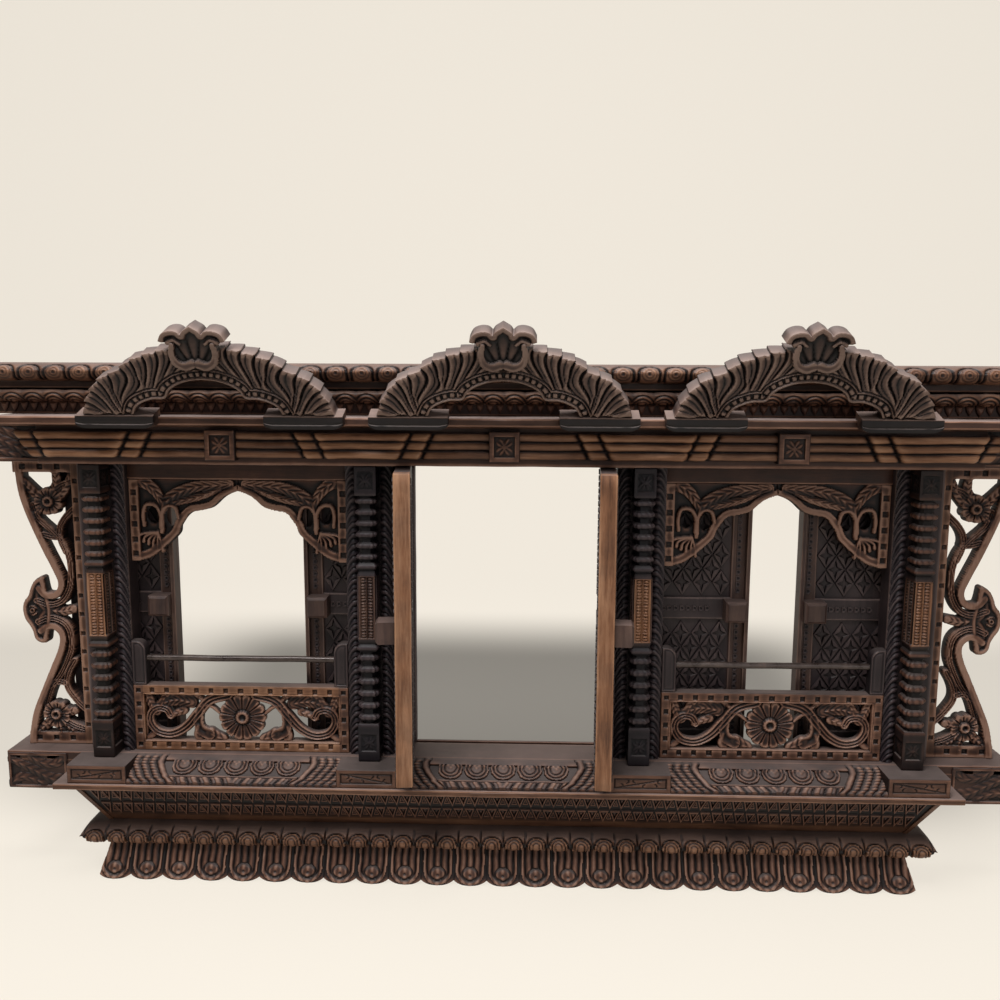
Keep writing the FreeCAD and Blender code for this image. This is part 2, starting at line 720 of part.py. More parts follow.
def spandrel_shape():
    """Half of a cusped arch with its pierced corner, drawn from the bay's middle to the right and down."""
    size = (value(BAY_HALF), value("spandrel_height"))
    corners = ((0, -14), (37, -36), (74, -65), (130, -103), (138, -104))
    apex, shoulder, cusp, tip, toe = fit(corners, SPANDREL_DRAWN, size)
    upper, lobe, sweep = fit(((16, -22), (62, -46), (108, -97)), SPANDREL_DRAWN, size)
    edges = [
        line((0, 0), (size[0], 0)),
        line((size[0], 0), toe),
        line(toe, tip),
        arc(tip, sweep, cusp),
        arc(cusp, lobe, shoulder),
        arc(shoulder, upper, apex),
        line(apex, (0, 0)),
    ]
    spots = fit(((115, -45), (88, -47), (104, -22)), SPANDREL_DRAWN, size)
    radii = fit(((8.5, 0), (7.5, 0), (6, 0)), SPANDREL_DRAWN, size)
    holes = [disc(spot, radius[0]) for spot, radius in zip(spots, radii)]
    return thicken(panel(edges).cut(holes).Faces[0], value("screen_thick"))


def make_parapet(name, bay):
    """Rails and stiles with a pierced scroll between them, standing on the sill between two jambs."""
    middle = f"{bay} * bay_pitch"
    y = ("-parapet_reach", "parapet_thick - parapet_reach")
    whole = (f"{middle} - {BAY_HALF}", f"{middle} + {BAY_HALF}")
    inner = (f"{whole[0]} + parapet_stile", f"{whole[1]} - parapet_stile")
    board = box(f"parapet_{name}_board", whole, y, (SILL_TOP, PARAPET_TOP))
    z = (f"{SILL_TOP} + parapet_rail", f"{PARAPET_TOP} - parapet_rail")
    window = box(f"parapet_{name}_window", inner, y, z)
    keep(cut(f"parapet_frame_{name}", board, window))
    height = value(f"{SILL_TOP} + parapet_height / 2")
    spot = Vector(bay * value("bay_pitch"), value("scroll_inset - parapet_reach"), height)
    feature(f"parapet_scroll_{name}", scroll_shape(), spot)


def scroll_shape():
    """A many-petalled flower between two leafy S-scrolls, drawn about its own middle."""
    half = (value(f"{BAY_HALF} - parapet_stile"), value("parapet_height - 2 * parapet_rail"))
    thick = value("parapet_thick - 2 * scroll_inset")
    foot = half[1] * FLOWER_FOOT_SHARE
    pieces = [disc((0, 0), half[1] * FLOWER_SHARE), slab((-foot, foot), (-half[1] / 2, half[1] / 2))]
    stem = ((14, 26), (36, 22), (54, 2), (70, -20), (92, -25), (110, -12), (110, 6), (96, 12), (84, 2))
    leaf = ((62, -8), (84, 18), (104, 28), (125, 30.5))
    side_leaf = ((24, 8), (40, 2), (46, -14), (50, -30.5))
    for sign in (-1, 1):
        for points, width in ((stem, 10), (leaf, 9), (side_leaf, 9)):
            path = fit(points, SCROLL_DRAWN, half)
            pieces.append(mirrored(strap(path, width * half[1] / SCROLL_DRAWN[1]), sign))
    return carved(pieces, slab((-half[0], half[0]), (-half[1] / 2, half[1] / 2)), thick)


def make_rods():
    """A round guard rod over each parapet, let into a wooden cheek at either end."""
    rods, cheeks = [], []
    y, z = "parapet_thick / 2 - parapet_reach", f"{PARAPET_TOP} + rod_rise"
    for name in ("left", "right"):
        middle = f"({BAYS[name]} * bay_pitch)"
        half = f"({BAY_HALF} - cheek_width + rod_seat)"
        rods.append(lying(f"rod_{name}", "rod_radius", half, y, z, middle))
        for side in (-1, 1):
            ends = (f"{middle} + {side} * {BAY_HALF}", f"{middle} + {side} * ({BAY_HALF} - cheek_width)")
            x = ends if side < 0 else ends[::-1]
            span = ("-parapet_reach", "parapet_thick - parapet_reach")
            label = f"cheek_{name}_{'left' if side < 0 else 'right'}"
            block = box(label + "_block", x, span, (PARAPET_TOP, f"{PARAPET_TOP} + cheek_height"))
            seat = f"({half} + rod_clearance)"
            bore = lying(label + "_bore", "rod_radius + rod_clearance", seat, y, z, middle)
            cheeks.append(cut(label, block, bore))
    keep(group("guard_rods", rods))
    keep(group("rod_cheeks", cheeks))


def make_wings():
    for name, sign in (("left", -1), ("right", 1)):
        spot = Vector(sign * value(JAMB_OUTER), -value("wing_reach"), value(SILL_TOP))
        feature(f"wing_{name}", mirrored(wing_shape(), sign), spot)


def wing_shape():
    """A pierced side panel: stile and rails, two S-shaped rims, a beaked volute and two flowers."""
    size = (value("wing_width"), value("opening_height"))
    stile, rail = value("wing_stile"), value("wing_rail")

    def drawn(*points):
        return fit(points, WING_DRAWN, size)

    top_reach, foot_reach = drawn((84, 0), (88, 0))
    pieces = [
        slab((0, stile), (0, size[1])),
        slab((0, top_reach[0]), (size[1] - rail, size[1])),
        slab((0, foot_reach[0]), (0, rail)),
    ]
    rims = (
        drawn((79, 368), (74, 328), (64, 294), (48, 264), (32, 236), (27, 220), (28, 206), (38, 196),
              (56, 194)),
        drawn((83, 4), (79, 38), (70, 72), (56, 102), (40, 128), (34, 146), (36, 158), (44, 164),
              (58, 162)),
    )
    stems = (
        drawn((18, 250), (34, 268), (44, 300), (44, 320)),
        drawn((18, 150), (28, 120), (42, 90), (50, 60), (50, 40)),
        drawn((50, 40), (58, 26), (66, 10)),
        drawn((44, 320), (58, 342), (70, 364)),
        drawn((18, 330), (32, 326), (44, 320)),
        drawn((18, 24), (34, 30), (50, 40)),
    )
    arms = (drawn((18, 202), (40, 186), (60, 178)), drawn((18, 160), (40, 172), (60, 178)))
    for path in rims:
        pieces.append(strap(path, RIM_WIDTH * size[0] / WING_DRAWN[0]))
    for path in stems + arms:
        pieces.append(strap(path, STEM_WIDTH * size[0] / WING_DRAWN[0]))
    for centre in drawn((44, 320), (50, 40)):
        pieces.append(disc(centre, WING_FLOWER * size[0] / WING_DRAWN[0]))
    volute = drawn((60, 223), (70, 214), (74, 200), (84, 190), (86, 175), (78, 160), (73, 144), (58, 134),
                   (55, 149), (50, 166), (48, 178), (50, 190), (54, 206))
    pieces.append(panel([spline(volute + volute[:1])]))
    return carved(pieces, slab((0, size[0]), (0, size[1])), value("wing_thick"))


def make_arches():
    lean = Rotation(Vector(1, 0, 0), value("arch_lean_angle"))
    finials = []
    for name, bay in BAYS.items():
        spot = Vector(bay * value("bay_pitch"), -value(ARCH_REACH), value(ARCH_FOOT))
        feature(f"arch_{name}", arch_shape(), spot, lean)
        finial = doc.addObject("Part::Feature", f"finial_{name}")
        finial.Shape = finial_shape()
        finial.Placement = Placement(spot, lean)
        finials.append(finial)
    keep(group("arch_finials", finials))
    make_feet()


def arch_shape():
    """A cusped crest arch, front face in the XZ plane, foot on z = 0."""
    outer = (value("arch_half"), value("arch_rise"))
    inner = (value("arch_opening_half"), value("arch_opening_rise"))
    half = []
    foot, lobe, notch, crown, top = fit(((144, 0), (130, 33), (97, 55), (62, 74), (0, 84)), ARCH_DRAWN, outer)
    toe, side, cusp, bow, apex = fit(((86, 0), (72, 16), (46, 21), (30, 37), (0, 44)), OPENING_DRAWN, inner)
    half.append(arc(foot, lobe, notch))
    half.append(arc(notch, crown, top))
    half.append(arc(toe, side, cusp))
    half.append(arc(cusp, bow, apex))
    half.append(line(foot, toe))
    edges = half + [mirrored(edge, -1) for edge in half]
    return thicken(panel(edges), value("arch_thick"))


def finial_shape():
    """A three-lobed crown, thicker than the rest, on a vase that stands in front of its arch."""
    size = (value("finial_half"), value("finial_height"))
    points = ((0, 50), (6, 47), (11, 42), (18, 43), (28, 40.5), (36.5, 34), (31, 31.5), (25.5, 28), (26.5, 15),
              (20, 4), (8, 0.5), (0, 1.5))
    lift = value("arch_opening_rise + finial_lift")
    right = [(x, z + lift) for x, z in fit(points, FINIAL_DRAWN, size)]
    lobes = [spline(right[:3]), spline(right[2:8])]
    vase = [spline(right[7:])]
    whole, crown = (edges + [mirrored(edge, -1) for edge in edges] for edges in (lobes + vase, lobes))
    neck = right[7]
    crown.append(line((-neck[0], neck[1]), neck))
    front = thicken(panel(whole), -value("finial_thick"))
    return front.fuse(thicken(panel(crown), value("crown_back"))).removeSplitter()


def make_feet():
    """Wedges hooked over the shelf's front edge, with tops square to the leaning arches."""
    back = f"({ARCH_REACH} - arch_thick * cos(arch_lean_angle * 1 deg))"
    low = f"{LINTEL_TOP} - foot_drop"
    section = (
        (FOOT_REACH, low),
        (FOOT_REACH, FOOT_FRONT_TOP),
        (back, f"{FOOT_FRONT_TOP} + ({FOOT_REACH} - {back}) * {ARCH_SLOPE}"),
        (back, SHELF_TOP),
        (SHELF_REACH, SHELF_TOP),
        (SHELF_REACH, low),
    )
    feet = []
    for name, bay in BAYS.items():
        for side in (-1, 1):
            inner = f"{bay} * bay_pitch + ({side}) * (arch_opening_half - foot_inset)"
            outer = f"{bay} * bay_pitch + ({side}) * (arch_half + foot_overhang)"
            label = f"foot_{name}_{'left' if side < 0 else 'right'}"
            feet.append(profile(label, section, (inner, outer) if side > 0 else (outer, inner)))
    keep(group("arch_feet", feet))


def make_leaves():
    for name, side in HUNG_LEAVES.items():
        make_hung_leaf(name, side)
    for name, bay, side in SLIDING_LEAVES:
        make_sliding_leaf(name, bay, side)


def make_hung_leaf(name, side):
    """A leaf drawn along +X from its pivot axis, then turned to the angle at which it stands open."""
    y = ("-leaf_thick / 2", "leaf_thick / 2")
    board = box(f"{name}_board", ("0", LEAF_LENGTH), y, ("0", LEAF_HEIGHT))
    edge = upright(f"{name}_edge", "leaf_thick / 2", LEAF_HEIGHT, "0", "0", "0")
    peg_foot = "(leaf_gap / 2 - peg_length)"
    pegs = upright(f"{name}_pegs", "peg_radius", f"{LEAF_HEIGHT} - 2 * {peg_foot}", "0", "0", peg_foot)
    x = ("leaf_stile - leaf_thick / 2", f"{LEAF_LENGTH} - leaf_stile")
    turned = f"-{name}_angle" if side < 0 else f"180 + {name}_angle"
    spot = (f"({side}) * {PIVOT_HALF}", f"-{LEAF_REACH}", LEAF_FOOT, turned)
    finish_leaf(name, [board, edge, pegs], x, "leaf_thick", "leaf_panel")
    make_knob(f"{name}_leaf_knob", side, LEAF_LENGTH, "leaf_thick")
    stand_leaf(name, spot)


def make_sliding_leaf(name, bay, side):
    """A leaf drawn along +X to the strip on its free edge, with a tongue at head and foot, moved to where it stands."""
    length = SLIDE_LENGTH
    y = ("-slide_thick / 2", "slide_thick / 2")
    board = box(f"{name}_board", ("0", length), y, ("0", LEAF_HEIGHT))
    tongue_y = ("-tongue_thick / 2", "tongue_thick / 2")
    tongues = box(f"{name}_tongues", ("0", length), tongue_y, (f"-{TONGUE}", f"{LEAF_HEIGHT} + {TONGUE}"))
    proud = "slide_thick / 2 + strip_proud"
    strip_y = (f"-({proud})", "slide_thick / 2") if side < 0 else ("-slide_thick / 2", proud)
    strip = box(f"{name}_strip", (f"{length} - strip_width", length), strip_y, ("0", LEAF_HEIGHT))
    x = ("leaf_stile", f"{length} - leaf_stile")
    turned = "0" if side < 0 else "180"
    away = f"(meeting_gap / 2 + {name}_shift + {length})"
    spot = (f"{bay} * bay_pitch + ({side}) * {away}", f"-{SLIDE_REACH}", LEAF_FOOT, turned)
    finish_leaf(name, [board, tongues, strip], x, "slide_thick", "slide_panel")
    make_knob(f"{name}_leaf_knob", side, length, "slide_thick")
    stand_leaf(name, spot)


def finish_leaf(name, timbers, x, thick, panel_thick):
    """Cut a leaf's two holes and fill them with panels."""
    middle = f"({LEAF_HEIGHT} / 2)"
    lower = ("leaf_rail", f"{middle} - leaf_middle_rail / 2")
    upper = (f"{middle} + leaf_middle_rail / 2", f"{LEAF_HEIGHT} - leaf_rail")
    y = (f"-{thick} / 2", f"{thick} / 2")
    panel_y = (f"-{panel_thick} / 2", f"{panel_thick} / 2")
    spans = (lower, upper)
    holes = [box(f"{name}_hole_{index}", x, y, span) for index, span in enumerate(spans)]
    panels = [box(f"{name}_panel_{index}", x, panel_y, span) for index, span in enumerate(spans)]
    cut(f"{name}_leaf_frame", fuse(f"{name}_timber", timbers), group(f"{name}_holes", holes))
    group(f"{name}_leaf_panels", panels)


def stand_leaf(name, spot):
    """Put a leaf's three sub-parts where the leaf stands and keep them."""
    for part in ("frame", "panels", "knob"):
        piece = doc.getObject(f"{name}_leaf_{part}")
        place(piece, *spot)
        keep(piece)


def make_knob(label, side, length, thick):
    """A square bevelled block on the leaf's outer face, beside its free edge."""
    solid = doc.addObject("Part::Wedge", label)
    x = f"({length} - knob_inset)"
    wide, narrow = "(knob_size / 2)", "(knob_size / 2 - knob_bevel)"
    face, top = f"{thick} / 2", f"{thick} / 2 + knob_rise"
    first, last = (wide, narrow) if side > 0 else (narrow, wide)
    span = (face, top) if side > 0 else (f"-({top})", f"-({face})")
    bind(solid, Ymin=span[0], Ymax=span[1])
    bind(solid, Xmin=f"{x} - {first}", Xmax=f"{x} + {first}", X2min=f"{x} - {last}", X2max=f"{x} + {last}")
    z = f"({LEAF_HEIGHT} / 2)"
    bind(solid, Zmin=f"{z} - {first}", Zmax=f"{z} + {first}", Z2min=f"{z} - {last}", Z2max=f"{z} + {last}")
    return solid


def check():
    """Stop if any object failed to build or any sub-part is empty or not valid."""
    failed = [thing.Label for thing in doc.Objects if {"Invalid", "Error"} & set(thing.State)]
    broken = [label for label, thing in nodes.items() if thing.Shape.isNull() or not thing.Shape.isValid()]
    if failed or broken:
        raise RuntimeError(f"failed: {failed}, broken: {broken}")


def main():
    fill_sheet()
    make_sill()
    make_apron()
    make_lintel()
    make_cornice()
    make_posts()
    make_jambs()
    make_screens()
    make_wings()
    make_arches()
    make_leaves()
    doc.recompute()
    check()
    os.makedirs("parts", exist_ok=True)
    for label, thing in nodes.items():
        thing.Shape.exportStep(f"parts/{label}.step")
    print(len(nodes), "sub-parts written")


main()
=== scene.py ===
# %% [markdown]
# # A carved three-bay window
# The real window is dark stained hardwood, cut with chisels: solid beams and posts, pierced panels, rows
# of lotus petals and six leaves, two on pegs and four in grooves. The construction model holds its sizes
# and joints. This lesson gives each of its pieces a carved mesh and a wood finish, and leaves every piece
# where the model has it.

# %% Load the window's construction model
import json
import math

import bmesh
import bpy
import numpy as np
from mathutils import Matrix, Vector

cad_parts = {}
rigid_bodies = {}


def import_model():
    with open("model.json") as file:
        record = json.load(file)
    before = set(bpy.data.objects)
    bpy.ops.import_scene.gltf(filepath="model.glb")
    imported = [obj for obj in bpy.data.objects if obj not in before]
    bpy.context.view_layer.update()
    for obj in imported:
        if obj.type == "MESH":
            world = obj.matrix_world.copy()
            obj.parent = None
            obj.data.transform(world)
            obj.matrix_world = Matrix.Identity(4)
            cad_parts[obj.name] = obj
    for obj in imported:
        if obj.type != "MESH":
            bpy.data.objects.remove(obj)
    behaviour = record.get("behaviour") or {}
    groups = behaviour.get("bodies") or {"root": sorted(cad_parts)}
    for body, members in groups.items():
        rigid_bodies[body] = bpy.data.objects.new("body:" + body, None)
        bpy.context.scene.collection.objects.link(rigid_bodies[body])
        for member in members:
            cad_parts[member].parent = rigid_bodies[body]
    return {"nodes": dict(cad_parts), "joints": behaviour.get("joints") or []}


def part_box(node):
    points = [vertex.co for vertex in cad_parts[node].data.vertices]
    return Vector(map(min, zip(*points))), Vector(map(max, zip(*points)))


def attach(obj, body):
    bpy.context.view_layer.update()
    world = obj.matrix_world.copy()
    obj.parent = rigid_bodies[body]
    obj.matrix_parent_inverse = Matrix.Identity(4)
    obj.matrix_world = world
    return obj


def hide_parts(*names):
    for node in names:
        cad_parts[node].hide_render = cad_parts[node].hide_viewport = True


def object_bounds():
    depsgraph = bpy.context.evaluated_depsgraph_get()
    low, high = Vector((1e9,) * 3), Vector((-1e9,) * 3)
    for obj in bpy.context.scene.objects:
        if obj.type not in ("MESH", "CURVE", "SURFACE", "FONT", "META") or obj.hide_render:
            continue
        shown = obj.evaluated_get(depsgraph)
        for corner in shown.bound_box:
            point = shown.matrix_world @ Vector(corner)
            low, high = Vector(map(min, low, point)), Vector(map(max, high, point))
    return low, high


for leftover in list(bpy.data.objects):
    bpy.data.objects.remove(leftover)
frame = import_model()
cad_low, cad_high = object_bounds()
print("nodes:", len(frame["nodes"]), "size in metres:", [round(side, 3) for side in cad_high - cad_low])

# %% [markdown]
# ## Measuring the frame
# A carver works in millimetres from the wall outwards, so a place here is x along the window, reach from
# the wall towards the viewer, and z upwards. The sizes could be typed again, but they would drift from
# the model. They are read from its nodes instead.

# %% Spans of the nodes
MM = 0.001


class Span:
    """The box of a node in millimetres."""

    def __init__(self, node):
        low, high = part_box(node)
        self.left, self.right = low.x / MM, high.x / MM
        self.front, self.back = -low.y / MM, -high.y / MM
        self.foot, self.top = low.z / MM, high.z / MM
        self.x, self.reach, self.z = (self.left, self.right), (self.back, self.front), (self.foot, self.top)
        self.middle = (self.left + self.right) / 2
        self.width = self.right - self.left
        self.height = self.top - self.foot


posts = [Span(f"post_{number}") for number in (1, 2, 3, 4)]
bays = {}
for bay_name, left_post, right_post in zip(("left", "centre", "right"), posts, posts[1:]):
    bays[bay_name] = (left_post.middle + right_post.middle) / 2
jamb = Span("jamb_1")
BAY_HALF = bays["centre"] - Span("jamb_2").right
print("bay centres:", {name: round(x, 1) for name, x in bays.items()}, "half width:", round(BAY_HALF, 1))

# %% [markdown]
# ## Clay
# Every piece is gathered as points and faces before it becomes a mesh. Each point also carries two paint
# values that the wood finish reads: relief, which is how far it stands above its surroundings, and worn,
# which is how much stain is rubbed off it. The finish darkens hollows by relief, as stain kept there and as
# painted shade, and lightens ridges as wear and as painted highlight. On the ribs and rolls the worn paint
# is also a painted highlight. Painting by height costs nothing at render time and follows the carving
# exactly.


# %% A gatherer of points and faces
PAINTS = ("relief", "worn")


class Clay:
    """Points (x, reach, z in millimetres), their paint, and faces of one piece."""

    def __init__(self):
        self.points, self.paint, self.faces = [], [], []
        self.count = 0

    def add(self, points, relief=0.0, worn=0.0):
        """Adds points in any layout and returns their numbers in the same layout."""
        shape = points.shape[:-1]
        numbers = self.count + np.arange(math.prod(shape)).reshape(shape)
        self.count += numbers.size
        self.points.append(points.reshape(-1, 3))
        paint = np.stack([np.broadcast_to(relief, shape), np.broadcast_to(worn, shape)], -1)
        self.paint.append(paint.reshape(-1, 2))
        return numbers

    def grid(self, numbers, keep=None, flip=False):
        quads = np.stack([numbers[:-1, :-1], numbers[:-1, 1:], numbers[1:, 1:], numbers[1:, :-1]], -1)
        quads = quads.reshape(-1, 4) if keep is None else quads[keep]
        self.faces.extend((quads[:, ::-1] if flip else quads).tolist())

    def tube(self, rings, relief=0.0, worn=0.0):
        """A closed skin through rings of points, with a face over each end."""
        numbers = self.add(rings, relief, worn)
        self.grid(np.hstack([numbers, numbers[:, :1]]))
        self.faces.append(numbers[0, ::-1].tolist())
        self.faces.append(numbers[-1].tolist())

    def mesh(self, name, sharp_angle=38):
        points = np.vstack(self.points) * (MM, -MM, MM)
        mesh = bpy.data.meshes.new(name)
        mesh.from_pydata(points.tolist(), [], self.faces)
        paint = np.vstack(self.paint)
        for column, title in enumerate(PAINTS):
            layer = mesh.attributes.new(title, "FLOAT", "POINT")
            layer.data.foreach_set("value", np.ascontiguousarray(paint[:, column], dtype=np.float32))
        turn_outwards(mesh)
        mesh.polygons.foreach_set("use_smooth", [True] * len(mesh.polygons))
        mesh.set_sharp_from_angle(angle=math.radians(sharp_angle))
        return mesh


def turn_outwards(mesh):
    """Drops points that no face uses and turns the faces of every closed shell outwards."""
    shells = bmesh.new()
    shells.from_mesh(mesh)
    loose = [point for point in shells.verts if not point.link_faces]
    bmesh.ops.delete(shells, geom=loose, context="VERTS")
    bmesh.ops.recalc_face_normals(shells, faces=shells.faces)
    shells.to_mesh(mesh)
    shells.free()


def new_object(name, data):
    """An object at the origin of the scene."""
    made = bpy.data.objects.new(name, data)
    bpy.context.scene.collection.objects.link(made)
    return made


def show(mesh, finish, body, slot, *nodes):
    """Makes a mesh a visible piece that rides on its body and stands for its nodes."""
    piece = new_object(mesh.name, mesh)
    mesh.materials.clear()
    mesh.materials.append(finish)
    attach(piece, body)
    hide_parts(*nodes)
    print(piece.name, "faces:", len(mesh.polygons))


print("paint on every point:", PAINTS)


# %% [markdown]
# ## Relief and hand-made lines
# A height counts as a ridge or a hollow only beside its neighbours, so the relief paint is the height
# less a blurred copy of it. Chisel work is never quite straight either: a slow wander, made of a few sine
# waves with seeded phases, bends every edge by a fraction of a millimetre.


# %% Blur, relief and wander
def blurred(values, radius):
    """A box blur, run twice along both axes."""
    for axis in (0, 1, 0, 1):
        wide = [(radius + 1, radius) if way == axis else (0, 0) for way in (0, 1)]
        total = np.cumsum(np.pad(values, wide, mode="edge"), axis=axis)
        size = values.shape[axis]
        far = np.take(total, np.arange(size) + 2 * radius + 1, axis=axis)
        values = (far - np.take(total, np.arange(size), axis=axis)) / (2 * radius + 1)
    return values


def relief_of(height, radius=3, full=1.1):
    """From -1 in a hollow to 1 on a ridge that stands a full height above its surroundings."""
    return np.clip((height - blurred(height, radius)) / full, -1, 1)


def unit(values):
    """Values held between 0 and 1."""
    return np.clip(values, 0, 1)


def ridge(off, width):
    """1 on a line, falling away to both sides of it."""
    return np.exp(-((off / width) ** 2))


def wander(along, seed, size=0.35):
    """A slow uneven line, as a hand plane leaves it."""
    phases = np.random.default_rng(seed).uniform(0, 6.28, 3)
    waves = sum(np.sin(along / length + phase) for length, phase in zip((61, 23, 11), phases))
    return size * waves / 2


def smooth_path(points, per=8):
    """A curve through given points."""
    spots = np.array(points, float)
    ends = np.vstack([2 * spots[0] - spots[1], spots, 2 * spots[-1] - spots[-2]])
    t = np.linspace(0, 1, per, endpoint=False)[:, None]
    runs = []
    for a, b, c, d in zip(ends, ends[1:], ends[2:], ends[3:]):
        square = a - 2.5 * b + 2 * c - d / 2
        cube = 1.5 * (b - c) + (d - a) / 2
        runs.append(b + t * (c - a) / 2 + t**2 * square + t**3 * cube)
    return np.vstack(runs + [spots[-1:]])


print("a wander over 200 mm:", np.round(wander(np.linspace(0, 200, 5), 1), 2))

# %% [markdown]
# ## The carver's board
# Most of the ornament is cut from the face of a board: stems, leaves, flowers and borders of one
# thickness with gaps sawn through. Sculpting by hand can't be repeated by a script, and joining many
# solids leaves torn edges. So a board here is a grid that holds two numbers at each point: the distance
# inside its outline, and its height. Each stroke of the chisel raises both. At the end the grid becomes a
# mesh whose edge points slide to the outline.


# %% A board with an outline and a height
class Board:
    """A grid of u, v in millimetres with the distance inside the outline, the height and the wear."""

    def __init__(self, u, v, step):
        columns, rows = round((u[1] - u[0]) / step), round((v[1] - v[0]) / step)
        self.u, self.v = np.meshgrid(np.linspace(*u, columns + 1), np.linspace(*v, rows + 1))
        self.inside = np.full(self.u.shape, -50.0)
        self.height = np.zeros(self.u.shape)
        self.worn = np.zeros(self.u.shape)
        self.step = step

    def near(self, path, margin):
        """The part of the grid around a path."""
        (left, low), (right, high) = path.min(0) - margin, path.max(0) + margin
        columns = np.searchsorted(self.u[0], (left, right))
        rows = np.searchsorted(self.v[:, 0], (low, high))
        return slice(*rows), slice(*columns)

    def along(self, path, part=slice(None)):
        """Distance from a path, share of its length passed, and the side of it, for part of the grid."""
        u, v = self.u[part], self.v[part]
        best, share, side = np.full(u.shape, 1e9), np.zeros(u.shape), np.ones(u.shape)
        runs = np.hypot(*np.diff(path, axis=0).T)
        passed = 0.0
        for (a, b), (c, d), run in zip(path, path[1:], runs):
            way = ((c - a) / run, (d - b) / run)
            onward = np.clip((u - a) * way[0] + (v - b) * way[1], 0, run)
            off = (u - a - onward * way[0], v - b - onward * way[1])
            distance = np.hypot(*off)
            closer = distance < best
            best[closer] = distance[closer]
            share[closer] = (passed + onward[closer]) / runs.sum()
            side[closer] = np.where(way[0] * off[1] - way[1] * off[0] > 0, 1, -1)[closer]
            passed += run
        return best, share, side

    def band(self, points, width, rise, pattern, taper=(1, 1), mirror=False):
        """A stem or leaf along a curve. Its pattern gives the height from side to side and end to end."""
        path = smooth_path(points) * ((-1, 1) if mirror else (1, 1))
        part = self.near(path, width)
        distance, share, side = self.along(path, part)
        half = width / 2 * (taper[0] + (taper[1] - taper[0]) * share)
        across = side * distance / half
        self.inside[part] = np.maximum(self.inside[part], half - distance)
        height = rise * pattern(np.clip(across, -1, 1), share)
        raised = np.maximum(self.height[part], height)
        self.height[part] = np.where(abs(across) < 1, raised, self.height[part])

    def plate(self, u, v, rise=0.0, worn=0.0):
        """A plain rectangle."""
        middle = ((u[0] + u[1]) / 2, (v[0] + v[1]) / 2)
        half = ((u[1] - u[0]) / 2, (v[1] - v[0]) / 2)
        depth = np.minimum(half[0] - abs(self.u - middle[0]), half[1] - abs(self.v - middle[1]))
        self.inside = np.maximum(self.inside, depth)
        self.height = np.where(depth > 0, np.maximum(self.height, rise), self.height)
        self.worn = np.where(depth > 0, np.maximum(self.worn, worn), self.worn)

    def outline(self, points):
        """Adds the inside of a closed line of points."""
        path = np.vstack([points, points[:1]])
        distance, _, _ = self.along(path)
        crossings = np.zeros(self.u.shape, bool)
        for (a, b), (c, d) in zip(path, path[1:]):
            between = (b > self.v) != (d > self.v)
            rise = d - b if d != b else 1e-9
            crossings ^= between & (self.u < a + (self.v - b) * (c - a) / rise)
        self.inside = np.maximum(self.inside, np.where(crossings, distance, -distance))

    def flower(self, centre, radius, petals, rise, boss=0.3):
        """A round flower of cupped petals about a holed boss."""
        du, dv = self.u - centre[0], self.v - centre[1]
        distance, angle = np.hypot(du, dv), np.arctan2(dv, du)
        wave = abs(np.cos(angle * petals / 2))
        edge = radius * (0.88 + 0.12 * wave**0.6)
        share = distance / edge
        cup = 0.55 + 0.45 * share - 0.35 * ridge(wave - 1, 0.3) * share
        height = rise * (cup - 0.55 * ridge(wave, 0.28))
        ring = ridge(share - 0.7 * boss, 0.35 * boss)
        height = np.where(share < 1.25 * boss, rise * (0.25 + 0.95 * ring), height)
        self.inside = np.maximum(self.inside, edge - distance)
        self.height = np.where(distance < edge, np.maximum(self.height, height), self.height)

    def rosettes(self, spots, half, depth=1.3):
        """Small square marks: a sunk square with a button in its middle."""
        for spot in spots:
            off = np.maximum(abs(self.u - spot[0]), abs(self.v - spot[1])) / half
            sunk = np.where(off < 0.3, -0.6, np.where(off < 1, -1.0, 0.0)) * depth
            self.height = self.height + sunk

    def pierce(self, centre, half_u, half_v):
        """Saws a hole through, round or arched."""
        off = np.hypot((self.u - centre[0]) / half_u, (self.v - centre[1]) / half_v)
        self.inside = np.minimum(self.inside, (off - 1) * min(half_u, half_v))

    def solid(self, clay, place, depth, ease=1.2):
        """Turns the board into a closed skin. place maps u, v and height to x, reach and z."""
        corners = (self.inside[:-1, :-1], self.inside[:-1, 1:], self.inside[1:, 1:], self.inside[1:, :-1])
        keep = sum(corners) > 0
        rows, columns = keep.shape
        grown = np.pad(keep, 1)
        shifts = ((0, 0), (0, 1), (1, 0), (1, 1))
        around = sum(grown[i:i + rows + 1, j:j + columns + 1].astype(int) for i, j in shifts)
        rim = (around > 0) & (around < 4)
        slope_v, slope_u = np.gradient(self.inside, self.step)
        steep = np.maximum(slope_u**2 + slope_v**2, 0.3)
        slide = np.where(rim, np.clip(self.inside, -self.step, self.step), 0) / steep
        u, v = self.u - slide * slope_u, self.v - slide * slope_v
        depth_in = np.clip(self.inside, 0, None)
        height = self.height - ease * unit(1 - np.where(rim, 0, depth_in) / (1.2 * ease)) ** 2
        relief = relief_of(np.where(self.inside > -self.step, height, height.min() - 1.5))
        front = clay.add(np.stack(place(u, v, height), -1), relief, self.worn)
        back = clay.add(np.stack(place(u, v, np.full(u.shape, -depth)), -1), -0.2)
        clay.grid(front, keep)
        clay.grid(back, keep, flip=True)
        sides = (((-1, 0), (0, 0), (0, 1)), ((0, 1), (0, 1), (1, 1)),
                 ((1, 0), (1, 1), (1, 0)), ((0, -1), (1, 0), (0, 0)))
        for (down, over), start, end in sides:
            edge = keep & ~grown[1 + down:1 + down + rows, 1 + over:1 + over + columns]
            a, b = (np.s_[spot[0]:spot[0] + rows, spot[1]:spot[1] + columns] for spot in (start, end))
            walls = np.stack([front[b][edge], front[a][edge], back[a][edge], back[b][edge]], -1)
            clay.faces.extend(walls.tolist())

